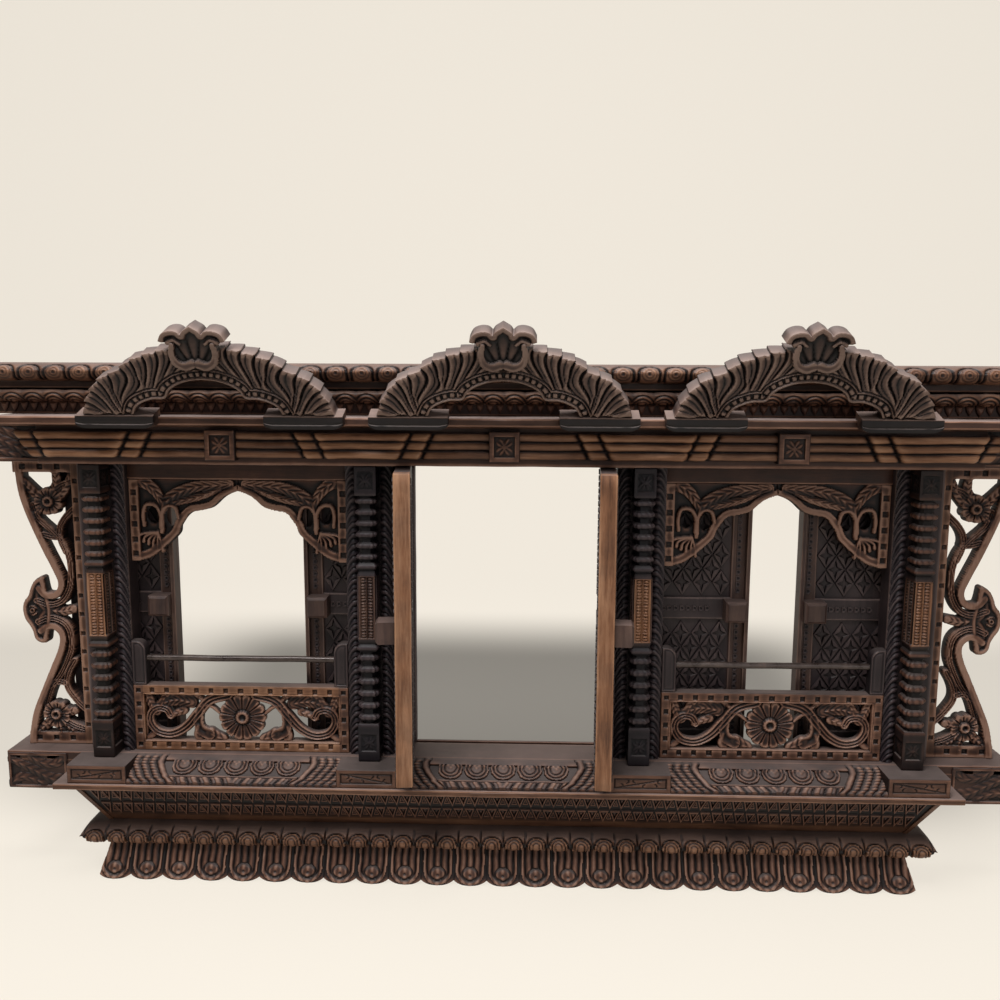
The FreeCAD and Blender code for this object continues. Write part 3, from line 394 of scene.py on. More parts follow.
    def mesh(self, name, place, depth, ease=1.2):
        """The board as a mesh of its own."""
        clay = Clay()
        self.solid(clay, place, depth, ease)
        return clay.mesh(name)


sample = Board((0, 40), (0, 20), 1.0)
sample.plate((5, 35), (4, 16))
print("a plate of 30 by 12 mm covers", int((sample.inside >= 0).sum()), "grid points")


# %% Chisel patterns across a stem or leaf
def rounded(across, share):
    return np.sqrt(1 - across**2)


def grooved(across, share):
    """Three ridges between two grooves, the double line along stems and rims."""
    return 0.72 + 0.28 * np.cos(3 * math.pi * across)


def fluted(lobes, slant=0.8):
    """A leaf with a rib and slanted gouges to both sides."""
    def pattern(across, share):
        wave = abs(np.sin(math.pi * (lobes * share + slant * abs(across))))
        rib = ridge(across, 0.14)
        return 0.45 * np.sqrt(1 - across**2) + 0.45 * wave**0.7 * (1 - 0.3 * abs(across)) + 0.25 * rib
    return pattern


def smooth(across, share):
    """A flat rim with eased edges."""
    return 1 - 0.35 * across**6


def hollow(across, share):
    """A scooped leaf with raised edges."""
    return 0.55 + 0.45 * across**2 - 0.3 * ridge(across, 0.2)


def facing(x, foot, reach, side=1):
    """Places a board upright, its u from x to one side and its v from foot, with its face at reach."""
    return lambda u, v, height: (x + side * u, reach + height, foot + v)


stem_middle = np.zeros(1)
crowns = [float(pattern(stem_middle, stem_middle)[0]) for pattern in (rounded, grooved, hollow)]
print("patterns at the middle of a stem:", crowns)

# %% [markdown]
# ## Stained wood
# The wood was stained almost black-brown and then handled for years: hollows keep the stain and are darkened
# further as painted shade, ridges are rubbed to copper brown and lightened as painted highlight too, tops
# are greyed as dust and as painted top light, and the parapet rails are bare orange in places. The leaves
# and jambs take a darker stain, which is painted shade for their place further back. An image could hold
# that, but it would not fit the carving. The finish is mixed from noise stretched along the grain and from
# the relief and worn paint. Shader sums are written as Python sums by a small class that wraps a socket.


# %% Shader sums
class Wire:
    """A shader socket that can be used in Python sums, and the maker of every other node."""

    def __init__(self, tree, socket=None):
        self.tree, self.socket = tree, socket

    def node(self, kind, settings=None, inputs=None, output=0):
        """Adds a node: its settings first, then the values or links of its sockets."""
        made = self.tree.nodes.new(kind)
        for name, value in (settings or {}).items():
            if name == "stops":
                ramp = made.color_ramp.elements
                while len(ramp) < len(value):
                    ramp.new(0.5)
                for stop, (place, colour) in zip(ramp, value):
                    stop.position, stop.color = place, (*colour, 1)
            else:
                setattr(made, name, value)
        self.plug(made, inputs or {})
        return Wire(self.tree, made.outputs[output])

    def plug(self, node, inputs):
        """Links or sets sockets of a node, by name or number."""
        for name, value in inputs.items():
            if isinstance(value, Wire):
                self.tree.links.new(value.socket, node.inputs[name])
            else:
                node.inputs[name].default_value = value

    def noise(self, spot, scale, detail, **more):
        inputs = {"Vector": spot, "Scale": scale, "Detail": detail, **more}
        return self.node("ShaderNodeTexNoise", {}, inputs)

    def bump(self, height, strength, distance):
        inputs = {"Strength": strength, "Distance": distance, "Height": height}
        return self.node("ShaderNodeBump", {}, inputs, "Normal")

    def math(self, operation, first, second, clamp=False):
        settings = {"operation": operation, "use_clamp": clamp}
        return self.node("ShaderNodeMath", settings, {0: first, 1: second})

    def __add__(self, other):
        return self.math("ADD", self, other)

    def __sub__(self, other):
        return self.math("SUBTRACT", self, other)

    def __rsub__(self, other):
        return self.math("SUBTRACT", other, self)

    def __mul__(self, other):
        return self.math("MULTIPLY", self, other)

    __radd__, __rmul__ = __add__, __mul__

    def clamped(self):
        return self.math("ADD", self, 0.0, clamp=True)

    def mixed(self, other, share):
        """A colour that goes over to another by a share."""
        made = self.tree.nodes.new("ShaderNodeMix")
        made.data_type = "RGBA"
        for name, kind, value in (("Factor", "VALUE", share), ("A", "RGBA", self), ("B", "RGBA", other)):
            socket = next(s for s in made.inputs if (s.name, s.type) == (name, kind))
            if isinstance(value, Wire):
                self.tree.links.new(value.socket, socket)
            else:
                socket.default_value = value
        return Wire(self.tree, next(s for s in made.outputs if s.type == "RGBA"))


def new_finish(name):
    """A material, its shader and a wire into its tree."""
    material = bpy.data.materials.new(name)
    material.use_nodes = True
    return material, material.node_tree.nodes["Principled BSDF"], Wire(material.node_tree)


print("a wire can make:", [name for name in vars(Wire) if not name.startswith("_")])


# %% The wood finish
STAIN = ((0.0, (0.004, 0.002, 0.002)), (0.3, (0.015, 0.007, 0.006)), (0.55, (0.048, 0.021, 0.014)),
         (0.8, (0.125, 0.058, 0.037)), (1.0, (0.24, 0.135, 0.095)))
# darker, greyer stain: painted shade for the leaves and jambs that stand further back
LEAF_STAIN_AND_SHADE = ((0.0, (0.005, 0.004, 0.005)), (0.4, (0.019, 0.013, 0.014)), (0.7, (0.048, 0.032, 0.032)),
              (1.0, (0.13, 0.09, 0.08)))
CREST_STAIN = ((0.0, (0.004, 0.003, 0.003)), (0.3, (0.013, 0.008, 0.007)), (0.55, (0.036, 0.020, 0.016)),
               (0.8, (0.085, 0.048, 0.036)), (1.0, (0.17, 0.11, 0.085)))
ROPE_STAIN = ((0.0, (0.004, 0.003, 0.005)), (0.45, (0.018, 0.012, 0.015)), (0.75, (0.052, 0.036, 0.038)),
              (1.0, (0.14, 0.105, 0.10)))
BARE = ((0.2, (0.070, 0.028, 0.013)), (0.5, (0.185, 0.082, 0.040)), (0.85, (0.32, 0.17, 0.095)))
# grey for faces that turn up: dust and painted top light
DUST_AND_TOP_LIGHT = (0.21, 0.163, 0.148, 1)
GRAIN_ALONG = {"x": (0.09, 1, 1), "z": (1, 1, 0.09)}
WOOD_SHINE = 0.28


def wood(name, grain="x", stain=STAIN, dust_and_top_light_weight=0.5, level=0.5):
    """Dark stained wood with its grain along one axis, greyed by dust and painted top light where it faces
    up by more than a level.
    """
    material, shader, wire = new_finish(name)
    spot = wire.node("ShaderNodeTexCoord", output="Object")
    along = wire.node("ShaderNodeMapping", {}, {"Vector": spot, "Scale": GRAIN_ALONG[grain]})
    fibre = wire.noise(along, 480.0, 5.0, Roughness=0.65)
    streak = wire.noise(along, 90.0, 3.0, Distortion=0.6)
    patch = wire.noise(spot, 19.0, 4.0, Roughness=0.6)
    relief = wire.node("ShaderNodeAttribute", {"attribute_name": "relief"}, output="Fac")
    worn = wire.node("ShaderNodeAttribute", {"attribute_name": "worn"}, output="Fac")
    # relief darkens hollows as stain and painted shade, and lightens ridges as wear and painted highlight
    tone = 0.40 + relief * 0.60 + (patch - 0.5) * 0.55 + (fibre - 0.5) * 0.32 + (streak - 0.5) * 0.25
    stained = wire.node("ShaderNodeValToRGB", {"stops": stain}, {"Fac": tone})
    bare_tone = 0.5 + (streak - 0.5) * 1.1 + (fibre - 0.5) * 0.7 + relief * 0.25
    bare = wire.node("ShaderNodeValToRGB", {"stops": BARE}, {"Fac": bare_tone})
    rubbed_and_highlight = (worn * (0.85 + (patch - 0.5) * 1.6) + relief * worn * 0.3).clamped()
    colour = stained.mixed(bare, rubbed_and_highlight)
    normal = wire.node("ShaderNodeNewGeometry", output="Normal")
    upward = wire.node("ShaderNodeSeparateXYZ", {}, {"Vector": normal}, output="Z")
    # faces turned up are greyed, as dust and as painted top light
    dust_and_top_light = ((upward - level) * 2.0).clamped() * (0.25 + patch) * dust_and_top_light_weight
    colour = colour.mixed(DUST_AND_TOP_LIGHT, dust_and_top_light.clamped())
    rough = (0.52 + (fibre - 0.5) * 0.25 - relief * 0.08 + dust_and_top_light * 0.35).clamped()
    grain_bump = wire.bump(fibre * 0.6 + streak * 0.5, 0.35, 0.0006)
    wire.plug(shader, {"Base Color": colour, "Roughness": rough, "Normal": grain_bump,
                       "Specular IOR Level": WOOD_SHINE})
    return material


carved_across = wood("carved_wood_across")
carved_upright = wood("carved_wood_upright", grain="z")
planed_across = wood("planed_wood_across", dust_and_top_light_weight=0.85)
# jambs, leaves and cheeks take the darker leaf stain, painted shade for their place further back
planed_upright = wood("planed_wood_upright", grain="z", stain=LEAF_STAIN_AND_SHADE)
crest_wood = wood("crest_wood", stain=CREST_STAIN, dust_and_top_light_weight=0.6, level=0.25)
rope_wood = wood("rope_wood", grain="z", stain=ROPE_STAIN, dust_and_top_light_weight=0.2)
leaf_finish = wood("leaf_finish", grain="z", stain=LEAF_STAIN_AND_SHADE, dust_and_top_light_weight=0.3)
print("wood finishes:", [material.name for material in bpy.data.materials if "wood" in material.name])

# %% [markdown]
# ## The iron of the guard rods
# The rods are dark wrought iron, rubbed smooth by hands and brown with old rust. A metal shader with one
# grey would look new, so brown patches of rust take away part of the metal.


# %% The iron finish
def iron(name):
    """Wrought iron whose rust takes away part of the metal."""
    material, shader, wire = new_finish(name)
    spot = wire.node("ShaderNodeTexCoord", output="Object")
    patch = wire.noise(spot, 55.0, 6.0, Roughness=0.7)
    pits = wire.noise(spot, 420.0, 3.0)
    colours = ((0.3, (0.030, 0.020, 0.017)), (0.55, (0.062, 0.044, 0.038)), (0.8, (0.12, 0.078, 0.060)))
    colour = wire.node("ShaderNodeValToRGB", {"stops": colours}, {"Fac": patch})
    rough = (0.34 + (patch - 0.5) * 0.5 + (pits - 0.5) * 0.2).clamped()
    metal = (0.75 - patch * 0.9).clamped()
    pitting = wire.bump(pits, 0.3, 0.0004)
    wire.plug(shader, {"Base Color": colour, "Roughness": rough, "Metallic": metal, "Normal": pitting})
    return material


rod_finish = iron("rod_finish")
print("metal finish:", rod_finish.name)

# %% [markdown]
# ## Rows of the same carving
# Triangles, teeth, beads and lattice stars repeat hundreds of times. Copying them in Python works, but a
# small Geometry Nodes tree does it with named sizes and gives each copy a slightly different size, as
# hand carving has. One tree serves rows and fields: it numbers its points and works out each one's column
# and row.


# %% The tree that sets carvings in rows
ROW_INPUTS = {
    "Motif": "Object", "Count": "Int", "Rows": "Int", "Start": "Vector", "Step": "Vector",
    "Row Step": "Vector", "Unevenness": "Float", "Seed": "Int", "Finish": "Material",
}


def rows_tree():
    tree = bpy.data.node_groups.new("Carvings in rows", "GeometryNodeTree")
    for name, kind in ROW_INPUTS.items():
        tree.interface.new_socket(name, in_out="INPUT", socket_type=f"NodeSocket{kind}")
    tree.interface.new_socket("Carvings", in_out="OUTPUT", socket_type="NodeSocketGeometry")
    given = tree.nodes.new("NodeGroupInput")
    size = {name: Wire(tree, given.outputs[name]) for name in ROW_INPUTS}
    wire = Wire(tree)

    def vector(operation, first, second):
        inputs = {0: first, "Scale" if operation == "SCALE" else 1: second}
        return wire.node("ShaderNodeVectorMath", {"operation": operation}, inputs)

    number = wire.node("GeometryNodeInputIndex")
    row = wire.math("FLOOR", wire.math("DIVIDE", number + 0.01, size["Count"]), 0.0)
    column = number - row * size["Count"]
    spot = vector("ADD", size["Start"], vector("SCALE", size["Step"], column))
    spot = vector("ADD", spot, vector("SCALE", size["Row Step"], row))
    points = wire.node("GeometryNodePoints", {}, {"Count": size["Count"] * size["Rows"], "Position": spot})
    motif = wire.node("GeometryNodeObjectInfo", {}, {"Object": size["Motif"]}, "Geometry")
    chance = {"Min": 1 - size["Unevenness"], "Max": 1 + size["Unevenness"], "Seed": size["Seed"]}
    scale = tree.nodes.new("FunctionNodeRandomValue")
    for socket in scale.inputs:
        if socket.enabled and socket.name in chance:
            tree.links.new(chance[socket.name].socket, socket)
    chosen = Wire(tree, next(socket for socket in scale.outputs if socket.enabled))
    copies = {"Points": points, "Instance": motif, "Scale": chosen}
    placed = wire.node("GeometryNodeInstanceOnPoints", {}, copies)
    plain = wire.node("GeometryNodeRealizeInstances", {}, {"Geometry": placed})
    painted = wire.node("GeometryNodeSetMaterial", {}, {"Geometry": plain, "Material": size["Finish"]})
    result = tree.nodes.new("NodeGroupOutput")
    tree.links.new(painted.socket, result.inputs[0])
    return tree


ROWS = rows_tree()


def to_world(x, reach, z):
    """A place in millimetres as the metres that nodes use."""
    return (x * MM, -reach * MM, z * MM)


def carvings(name, motif, finish, count, start, step, rows=1, row_step=(0, 0, 0), uneven=0.03):
    """A mesh of copies of a motif in rows. The motif is drawn about the origin."""
    pattern = bpy.data.objects.new("motif", motif)
    holder = new_object("row", bpy.data.meshes.new("row"))
    rule = holder.modifiers.new("rows", "NODES")
    rule.node_group = ROWS
    values = {"Motif": pattern, "Count": count, "Rows": rows, "Start": to_world(*start),
              "Step": to_world(*step), "Row Step": to_world(*row_step), "Unevenness": uneven,
              "Seed": len(name), "Finish": finish}
    for item in ROWS.interface.items_tree:
        if item.in_out == "INPUT":
            rule[item.identifier] = values[item.name]
    drawn = holder.evaluated_get(bpy.context.evaluated_depsgraph_get())
    mesh = bpy.data.meshes.new_from_object(drawn)
    mesh.name = name
    holder.modifiers.remove(rule)
    for scrap in (holder, pattern):
        bpy.data.objects.remove(scrap)
    return mesh


def small_carving(name, rings, relief, worn=0.0, sharp_angle=20):
    """A motif of few faces: a skin through a few rings, each with its own relief paint."""
    rings = np.array(rings)
    clay = Clay()
    clay.tube(rings, np.broadcast_to(np.array(relief)[:, None], rings.shape[:2]), worn)
    return clay.mesh(name, sharp_angle)


print("rows tree nodes:", len(ROWS.nodes))

# %% [markdown]
# ## Plain timbers
# The sill and lintel beams, the shelf, the ledge, the jambs and the head rails are planed by hand: their
# edges are eased and never quite straight. A cube with a bevel would look milled. A rounded section is
# carried along the timber instead, and each of its points wanders a little. The eased corners are painted
# as high, so they are lightened as wear and as painted highlight.

# %% A hand-planed timber
EASE_STEPS = 3


def section(low, high, ease):
    """A rounded rectangle with points along its sides, and how much each point belongs to a corner."""
    spots, corner = [], []
    inner = ((low[0] + ease, high[0] - ease), (low[1] + ease, high[1] - ease))
    turns = np.linspace(0, math.pi / 2, EASE_STEPS)
    centres = ((1, 1), (0, 1), (0, 0), (1, 0))
    for index, (right, top) in enumerate(centres):
        centre = (inner[0][right], inner[1][top])
        for turn in turns + index * math.pi / 2:
            spots.append((centre[0] + ease * math.cos(turn), centre[1] + ease * math.sin(turn)))
            corner.append(1.0)
        following = centres[(index + 1) % 4]
        ahead = (inner[0][following[0]], inner[1][following[1]])
        turned = (index + 1) * math.pi / 2
        leaving = (math.cos(turned) * ease, math.sin(turned) * ease)
        for share in (0.06, 0.35, 0.65, 0.94):
            spots.append(tuple(centre[i] + (ahead[i] - centre[i]) * share + leaving[i] for i in (0, 1)))
            corner.append(0.15)
    return np.array(spots), np.array(corner)


def timber(clay, x, reach, z, along="x", ease=2.0, uneven=0.35, worn=0.0, seed=1):
    """A straight piece between limits given as pairs, with its length along x or z."""
    limits = {"x": x, "reach": reach, "z": z}
    others = [axis for axis in ("x", "reach", "z") if axis != along]
    start, end = limits[along]
    low, high = ([limits[axis][side] for axis in others] for side in (0, 1))
    spots, corner = section(low, high, ease)
    middle = (np.array(low) + np.array(high)) / 2
    stations = np.linspace(start, end, max(3, round((end - start) / 14)))
    eased = ease * 0.6
    stations = np.concatenate([[start], stations[:1] + eased, stations[1:-1], stations[-1:] - eased, [end]])
    rings = np.zeros((len(stations), len(spots), 3))
    outward = (spots - middle) / np.hypot(*(spots - middle).T)[:, None]
    for index, station in enumerate(stations):
        pulled = ease * 0.5 if index in (0, len(stations) - 1) else 0.0
        push = [wander(station, seed * 7 + number // 7, uneven) for number in range(len(spots))]
        ring = spots + outward * (np.array(push) - pulled)[:, None]
        axes = dict(zip(others, ring.T))
        axes[along] = np.full(len(spots), station)
        rings[index] = np.stack([axes["x"], axes["reach"], axes["z"]], -1)
    relief = np.broadcast_to(corner * 0.8, rings.shape[:2])
    clay.tube(rings, relief, worn)


FRAME = "window_frame"


def carved(mesh, node, finish=carved_across):
    """Shows a carved piece of the fixed frame."""
    show(mesh, finish, FRAME, "carved_wood", node)


def plain(name, finish, node, along="x", **manner):
    """One timber that fills a node's box."""
    span = Span(node)
    clay = Clay()
    timber(clay, span.x, span.reach, span.z, along, **manner)
    show(clay.mesh(name), finish, FRAME, "frame_wood", node)


plain("ledge", planed_across, "sill_ledge", worn=0.32, uneven=0.6, ease=1.6, seed=3)
plain("shelf", planed_across, "lintel_shelf", worn=0.1, uneven=0.6, seed=4)
for number in (1, 2, 3, 4):
    plain(f"jamb_timber_{number}", planed_upright, f"jamb_{number}", "z", uneven=0.2, seed=10 + number)

# %% Head rails of the side bays
screen = Span("head_rails")
HEAD_LAP = 9.0
rails = Clay()
for bay_name in ("left", "right"):
    x = (bays[bay_name] - BAY_HALF, bays[bay_name] + BAY_HALF)
    timber(rails, x, screen.reach, screen.z, ease=1.0, seed=21)
show(rails.mesh("head_rail_timbers"), planed_across, FRAME, "frame_wood", "head_rails")

# %% [markdown]
# ## Sill and lintel beams with carved horns
# Both beams run past the wings in horns, which are built into a wall on a house. The horns' fronts are
# carved with a leaf scroll between border lines, laid over the front as a thin board, because only the
# horns show any carving. A groove along each beam takes the tongues of the sliding leaves. Cutting it out
# of one timber would need a boolean, so the beam is a whole timber with strips beside the groove.

# %% Beams and horns
HORN_RISE, HORN_BORDER, HORN_START = 2.2, 3.2, 4
HORN_LEAVES = (
    (((0, 0.2), (0.3, 0.28), (0.55, 0.5), (0.96, 0.82)), 0.42, 7, (0.9, 0.5)),
    (((0, 0.88), (0.2, 0.7), (0.42, 0.72), (0.6, 0.9)), 0.25, 4, (1, 1)),
    (((0.4, 0.12), (0.6, 0.26), (0.8, 0.3), (0.96, 0.12)), 0.25, 4, (1, 1)),
)


def horn(clay, x, z, reach, side):
    """A leaf scroll for the end of a beam, from its inner edge outwards."""
    wide, tall = x[1] - x[0], z[1] - z[0]
    board = Board((0, wide), (0, tall), 0.9)
    board.plate((0, wide), (0, tall))
    ground = np.minimum.reduce([board.u, wide - board.u, board.v, tall - board.v])
    board.height += np.where(ground < HORN_BORDER, HORN_RISE, 0.0)
    for shares, width, lobes, taper in HORN_LEAVES:
        path = [(max(HORN_START, wide * along), tall * up) for along, up in shares]
        board.band(path, tall * width, HORN_RISE, fluted(lobes), taper)
    board.solid(clay, facing(side * x[0], z[0], reach, side), 1.0, ease=0.5)


sill = Span("sill_beam")
lintel = Span("lintel_beam")
ledge = Span("sill_ledge")
GROOVE_REACH, GROOVE_DEPTH, GROOVE_HALF, GROOVE_LAP = (4.7, 11.3), 8.0, 583.5, 3


def grooved_beam(clay, span, front, z, groove_z, seed):
    """A beam from a whole timber and two strips beside the groove in which the sliding leaves run."""
    timber(clay, span.x, (span.back, front), z, uneven=0.3, seed=seed)
    for reach in ((span.back, GROOVE_REACH[0]), (GROOVE_REACH[1], front)):
        timber(clay, span.x, reach, groove_z, ease=0.8, uneven=0.0, seed=seed)
    for x in ((span.left, -GROOVE_HALF), (GROOVE_HALF, span.right)):
        timber(clay, x, (span.back, front), groove_z, uneven=0.2, seed=seed)


beam = Clay()
sill_groove = sill.top - GROOVE_DEPTH
grooved_beam(beam, sill, sill.front, (sill.foot, sill_groove), (sill_groove - GROOVE_LAP, sill.top), seed=31)
for side in (-1, 1):
    horn(beam, (ledge.right + 2, sill.right - 1.5), (sill.foot + 2, sill.top - 2), sill.front, side)
show(beam.mesh("sill"), carved_across, FRAME, "frame_wood", "sill_beam")

moulding = Span("lintel_moulding")
LINTEL_HORN_REACH = sill.front
LINTEL_MIDDLE_HALF = moulding.right - 25
beam = Clay()
lintel_groove = lintel.foot + GROOVE_DEPTH
horn_x = (LINTEL_MIDDLE_HALF + 1, lintel.right - 1.5)
grooved_beam(beam, lintel, LINTEL_HORN_REACH, (lintel_groove, lintel.top),
             (lintel.foot, lintel_groove + GROOVE_LAP), seed=32)
timber(beam, (-LINTEL_MIDDLE_HALF, LINTEL_MIDDLE_HALF), (lintel.back + 20, lintel.front), lintel.z, seed=33)
for side in (-1, 1):
    horn(beam, horn_x, (lintel.foot + 2, lintel.top - 2), LINTEL_HORN_REACH, side)
show(beam.mesh("lintel"), carved_across, FRAME, "frame_wood", "lintel_beam")

# %% [markdown]
# ## Ribbed lintel moulding
# Three ribs run along the lintel. Over each post they step forward twice in slanted capitals, and the
# dark cuts between the steps show from far away. The ribs could be three swept curves, but the steps
# would then need their own pieces. One section with three bulges is carried along instead, and its reach
# depends on where it is.

# %% Ribs and capitals
RIB_COUNT = 3
CAPITALS = ((83, 68, 3.0), (58, 43, 6.0))
CUT_WIDTH, CUT_DEPTH = 2.6, 3.6
RIB_PLATE = lintel.front + 5


def capital_reach(x, share):
    """How far the ribs stand forward at x, less the slanted cuts, by share of the zone's height."""
    forward, cut = np.zeros(x.shape), np.zeros(x.shape)
    for post in posts:
        off = abs(x - post.middle)
        for top_half, foot_half, step in CAPITALS:
            edge = off - (foot_half + (top_half - foot_half) * share)
            forward = np.where(edge < 0, np.maximum(forward, step), forward)
            cut = np.maximum(cut, ridge(edge, CUT_WIDTH))
    return forward - cut * CUT_DEPTH


def rib_moulding():
    clay = Clay()
    zone = (moulding.foot + 1.2, moulding.top - 1.2)
    share = np.linspace(0, 1, 46)
    rib = np.mod(share * RIB_COUNT, 1) * 2 - 1
    bulge = (zone[1] - zone[0]) / RIB_COUNT / 2 * np.sqrt(np.clip(1 - rib**2, 0.02, 1))
    stations = np.arange(-1, 1.0001, 0.0032)
    half = np.interp(share, (0, 1), (moulding.right - 25, moulding.right))
    x = stations[:, None] * half
    forward = capital_reach(x, share)
    reach = RIB_PLATE - 2 + bulge + forward + wander(x, 41, 0.3)
    z = zone[0] + (zone[1] - zone[0]) * share + wander(x, 42, 0.35)
    front = np.stack([x, reach, np.broadcast_to(z, x.shape)], -1)
    back_z = np.tile(zone[::-1], (len(x), 1))
    back = np.stack([x[:, [-1, 0]], np.full((len(x), 2), lintel.front), back_z], -1)
    relief = relief_of(reach, 4, 2.2)
    relief = np.hstack([relief, np.zeros((len(x), 2))])
    # paler paint on the rib crests and over the capitals: wear and painted highlight
    rubbed_and_highlight = unit(relief + 0.45) * (0.8 + 0.6 * (forward > 1).mean(1))[:, None]
    clay.tube(np.concatenate([front, back], 1), relief, rubbed_and_highlight)
    return clay.mesh("ribs")


carved(rib_moulding(), "lintel_moulding")

# %% [markdown]
# ## Blocks and petal slopes on the sill
# Under each post sits a block whose framed front has a slanting cut between small crescents. Between the
# blocks the sill slopes down in a carved band: a plain strip, five round petals with a double line, a row
# of small slanted lobes below, and S-shaped flutes at both ends. The slope is one section carried along
# the bay, pushed out by a height that is written as sums of waves, so every lobe has the same shape and a
# slightly different edge.

# %% Sill blocks
slopes = Span("sill_slopes")
blocks = Span("sill_blocks")
BLOCK_HALF = blocks.right - posts[3].middle
BLOCK_FRAME = 6.5
CRESCENTS = ((-17, 3.2, 1), (-6, 3.6, -1), (-24, -2.5, 1), (17, -3.2, 1), (6, -3.6, -1), (24, 2.5, -1))


def block_board(wide, tall, flip):
    """A framed field with a slanting groove and small crescents to both sides of it."""
    board = Board((-wide / 2, wide / 2), (0, tall), 0.85)
    board.plate((-wide / 2, wide / 2), (0, tall), worn=0.1)
    u, v = board.u * flip, board.v - tall / 2
    rim = np.minimum(wide / 2 - abs(u), tall / 2 - abs(v))
    field = unit((rim - BLOCK_FRAME) / 0.8)
    board.height -= 1.8 * ridge(rim - BLOCK_FRAME + 0.6, 0.8)
    cut = ridge(v - u * (tall - 12) / (wide - 12), 0.9)
    for across, up, turn in CRESCENTS:
        ring = np.hypot(u - across, 1.2 * (v - up))
        cut = np.maximum(cut, ridge(ring - 3.0, 0.8) * (turn * (u - across) > 0))
    board.height -= field * (0.5 + 1.4 * cut)
    return board


blocks_clay = Clay()
for number, post in enumerate(posts):
    board = block_board(2 * BLOCK_HALF, blocks.height, -1 if number % 2 else 1)
    board.solid(blocks_clay, facing(post.middle, blocks.foot, blocks.front), blocks.front - blocks.back)
carved(blocks_clay.mesh("blocks"), "sill_blocks")

# %% Petal slopes
SLOPE_LIP, SLOPE_FLAT = 4.0, 5.0
SLOPE_HALF = slopes.right - bays["right"]
PETAL_PITCH, PETAL_ROUND, PETAL_MIDDLE = 32.8, 15.2, 12.5
LOBE_PITCH, FLUTE_PITCH, PEARL_PITCH = 14.6, 10.5, 4.4
PLAIN_STRIP, FILLET, LOBE_TOP = 7.5, 28.5, 33.0


def slope_height(u, v):
    """Height over a bay's slope: u from the middle, v down from the top edge."""
    side = abs(u)
    off = u - np.clip(np.round(u / PETAL_PITCH), -2, 2) * PETAL_PITCH
    distance = np.hypot(off, v - PETAL_MIDDLE)
    share = distance / PETAL_ROUND
    rings = ridge(share - 0.78, 0.06) + 0.8 * ridge(share - 0.5, 0.06)
    cup = 3.4 - 1.2 * share**2 - 1.9 * rings + 1.2 * ridge(distance, 1.9)
    collar = 1.2 * ridge(v - PLAIN_STRIP - 1.5, 2) * abs(np.sin(off * 0.5))
    petals = np.where((share < 1) & (v > PLAIN_STRIP), cup + collar, 0.0)
    strip = np.where(v < PLAIN_STRIP, 3.0, 0.0)
    fillet = 2.6 * np.exp(-(((v - (FILLET + LOBE_TOP) / 2) / 2.0) ** 4))
    lean = (side + 0.5 * (v - LOBE_TOP)) / LOBE_PITCH
    lobe = np.sin(math.pi * np.mod(lean, 1) ** 0.8)
    lobes = np.where(v > LOBE_TOP, 4.2 * lobe**0.6 - 1.2 * ridge(np.mod(lean, 1) - 0.6, 0.08), 0.0)
    middle = np.maximum.reduce([petals, strip, fillet, lobes])
    swing = side - 2.5 * PETAL_PITCH - 3.5 - 6.5 * np.cos(math.pi * (v - PLAIN_STRIP) / 30)
    swing = swing + np.where(v > LOBE_TOP, 1.1 * (v - LOBE_TOP), 0.0)
    wave = abs(np.sin(math.pi * swing / FLUTE_PITCH))
    bead = abs(np.sin(math.pi * v / PEARL_PITCH))
    pearls = 0.6 + 0.4 * bead * (swing > FLUTE_PITCH) + 0.4 * (swing < FLUTE_PITCH)
    scallop = np.where(v > 41, 2.5 * abs(np.sin(math.pi * side / 11)) ** 0.4 - 2.5, 0.0)
    ends = 3.8 * wave**0.6 * pearls + scallop
    return np.where(swing > 0, ends, middle) - 3.2


def petal_slope(clay, middle, seed):
    top, lip = (slopes.back + SLOPE_FLAT, slopes.top), (slopes.front, slopes.foot + SLOPE_LIP)
    length = math.hypot(lip[0] - top[0], lip[1] - top[1])
    out = ((top[1] - lip[1]) / length, (lip[0] - top[0]) / length)
    v = np.linspace(0, length, 44)
    u = np.linspace(-SLOPE_HALF, SLOPE_HALF, 270)
    uu, vv = np.meshgrid(u, v, indexing="ij")
    height = slope_height(uu + wander(vv * 9 + uu, seed, 0.5), vv) + wander(uu, seed + 1, 0.25)
    share = vv / length
    reach = top[0] + (lip[0] - top[0]) * share + out[0] * height
    z = top[1] + (lip[1] - top[1]) * share + out[1] * height
    face = np.stack([middle + uu, reach, z], -1)
    corners = ((lip[0], slopes.foot), (slopes.back, slopes.foot), (slopes.back, slopes.top))
    back = np.zeros((len(u), 3, 3))
    back[:, :, 0] = middle + u[:, None]
    back[:, :, 1:] = corners
    relief = np.hstack([relief_of(height, 4, 1.5), np.zeros((len(u), 3))])
    clay.tube(np.concatenate([face, back], 1), relief, unit(relief) * 0.25)


slope_clay = Clay()
for number, middle in enumerate(bays.values()):
    petal_slope(slope_clay, middle, 51 + 3 * number)
carved(slope_clay.mesh("slopes"), "sill_slopes")

# %% [markdown]
# ## The apron
# Below the ledge hang three courses: a hipped panel that slants back and is covered with two rows of cut
# triangles, a lotus roll, and a skirt of hanging petals that flares out again. The triangles are drawn
# once and set in rows by the tree. The roll's arches and the skirt's petals touch each other, so a row of
# copies would leave gaps. They are written as a height instead, over a section carried along x and over a
# board.

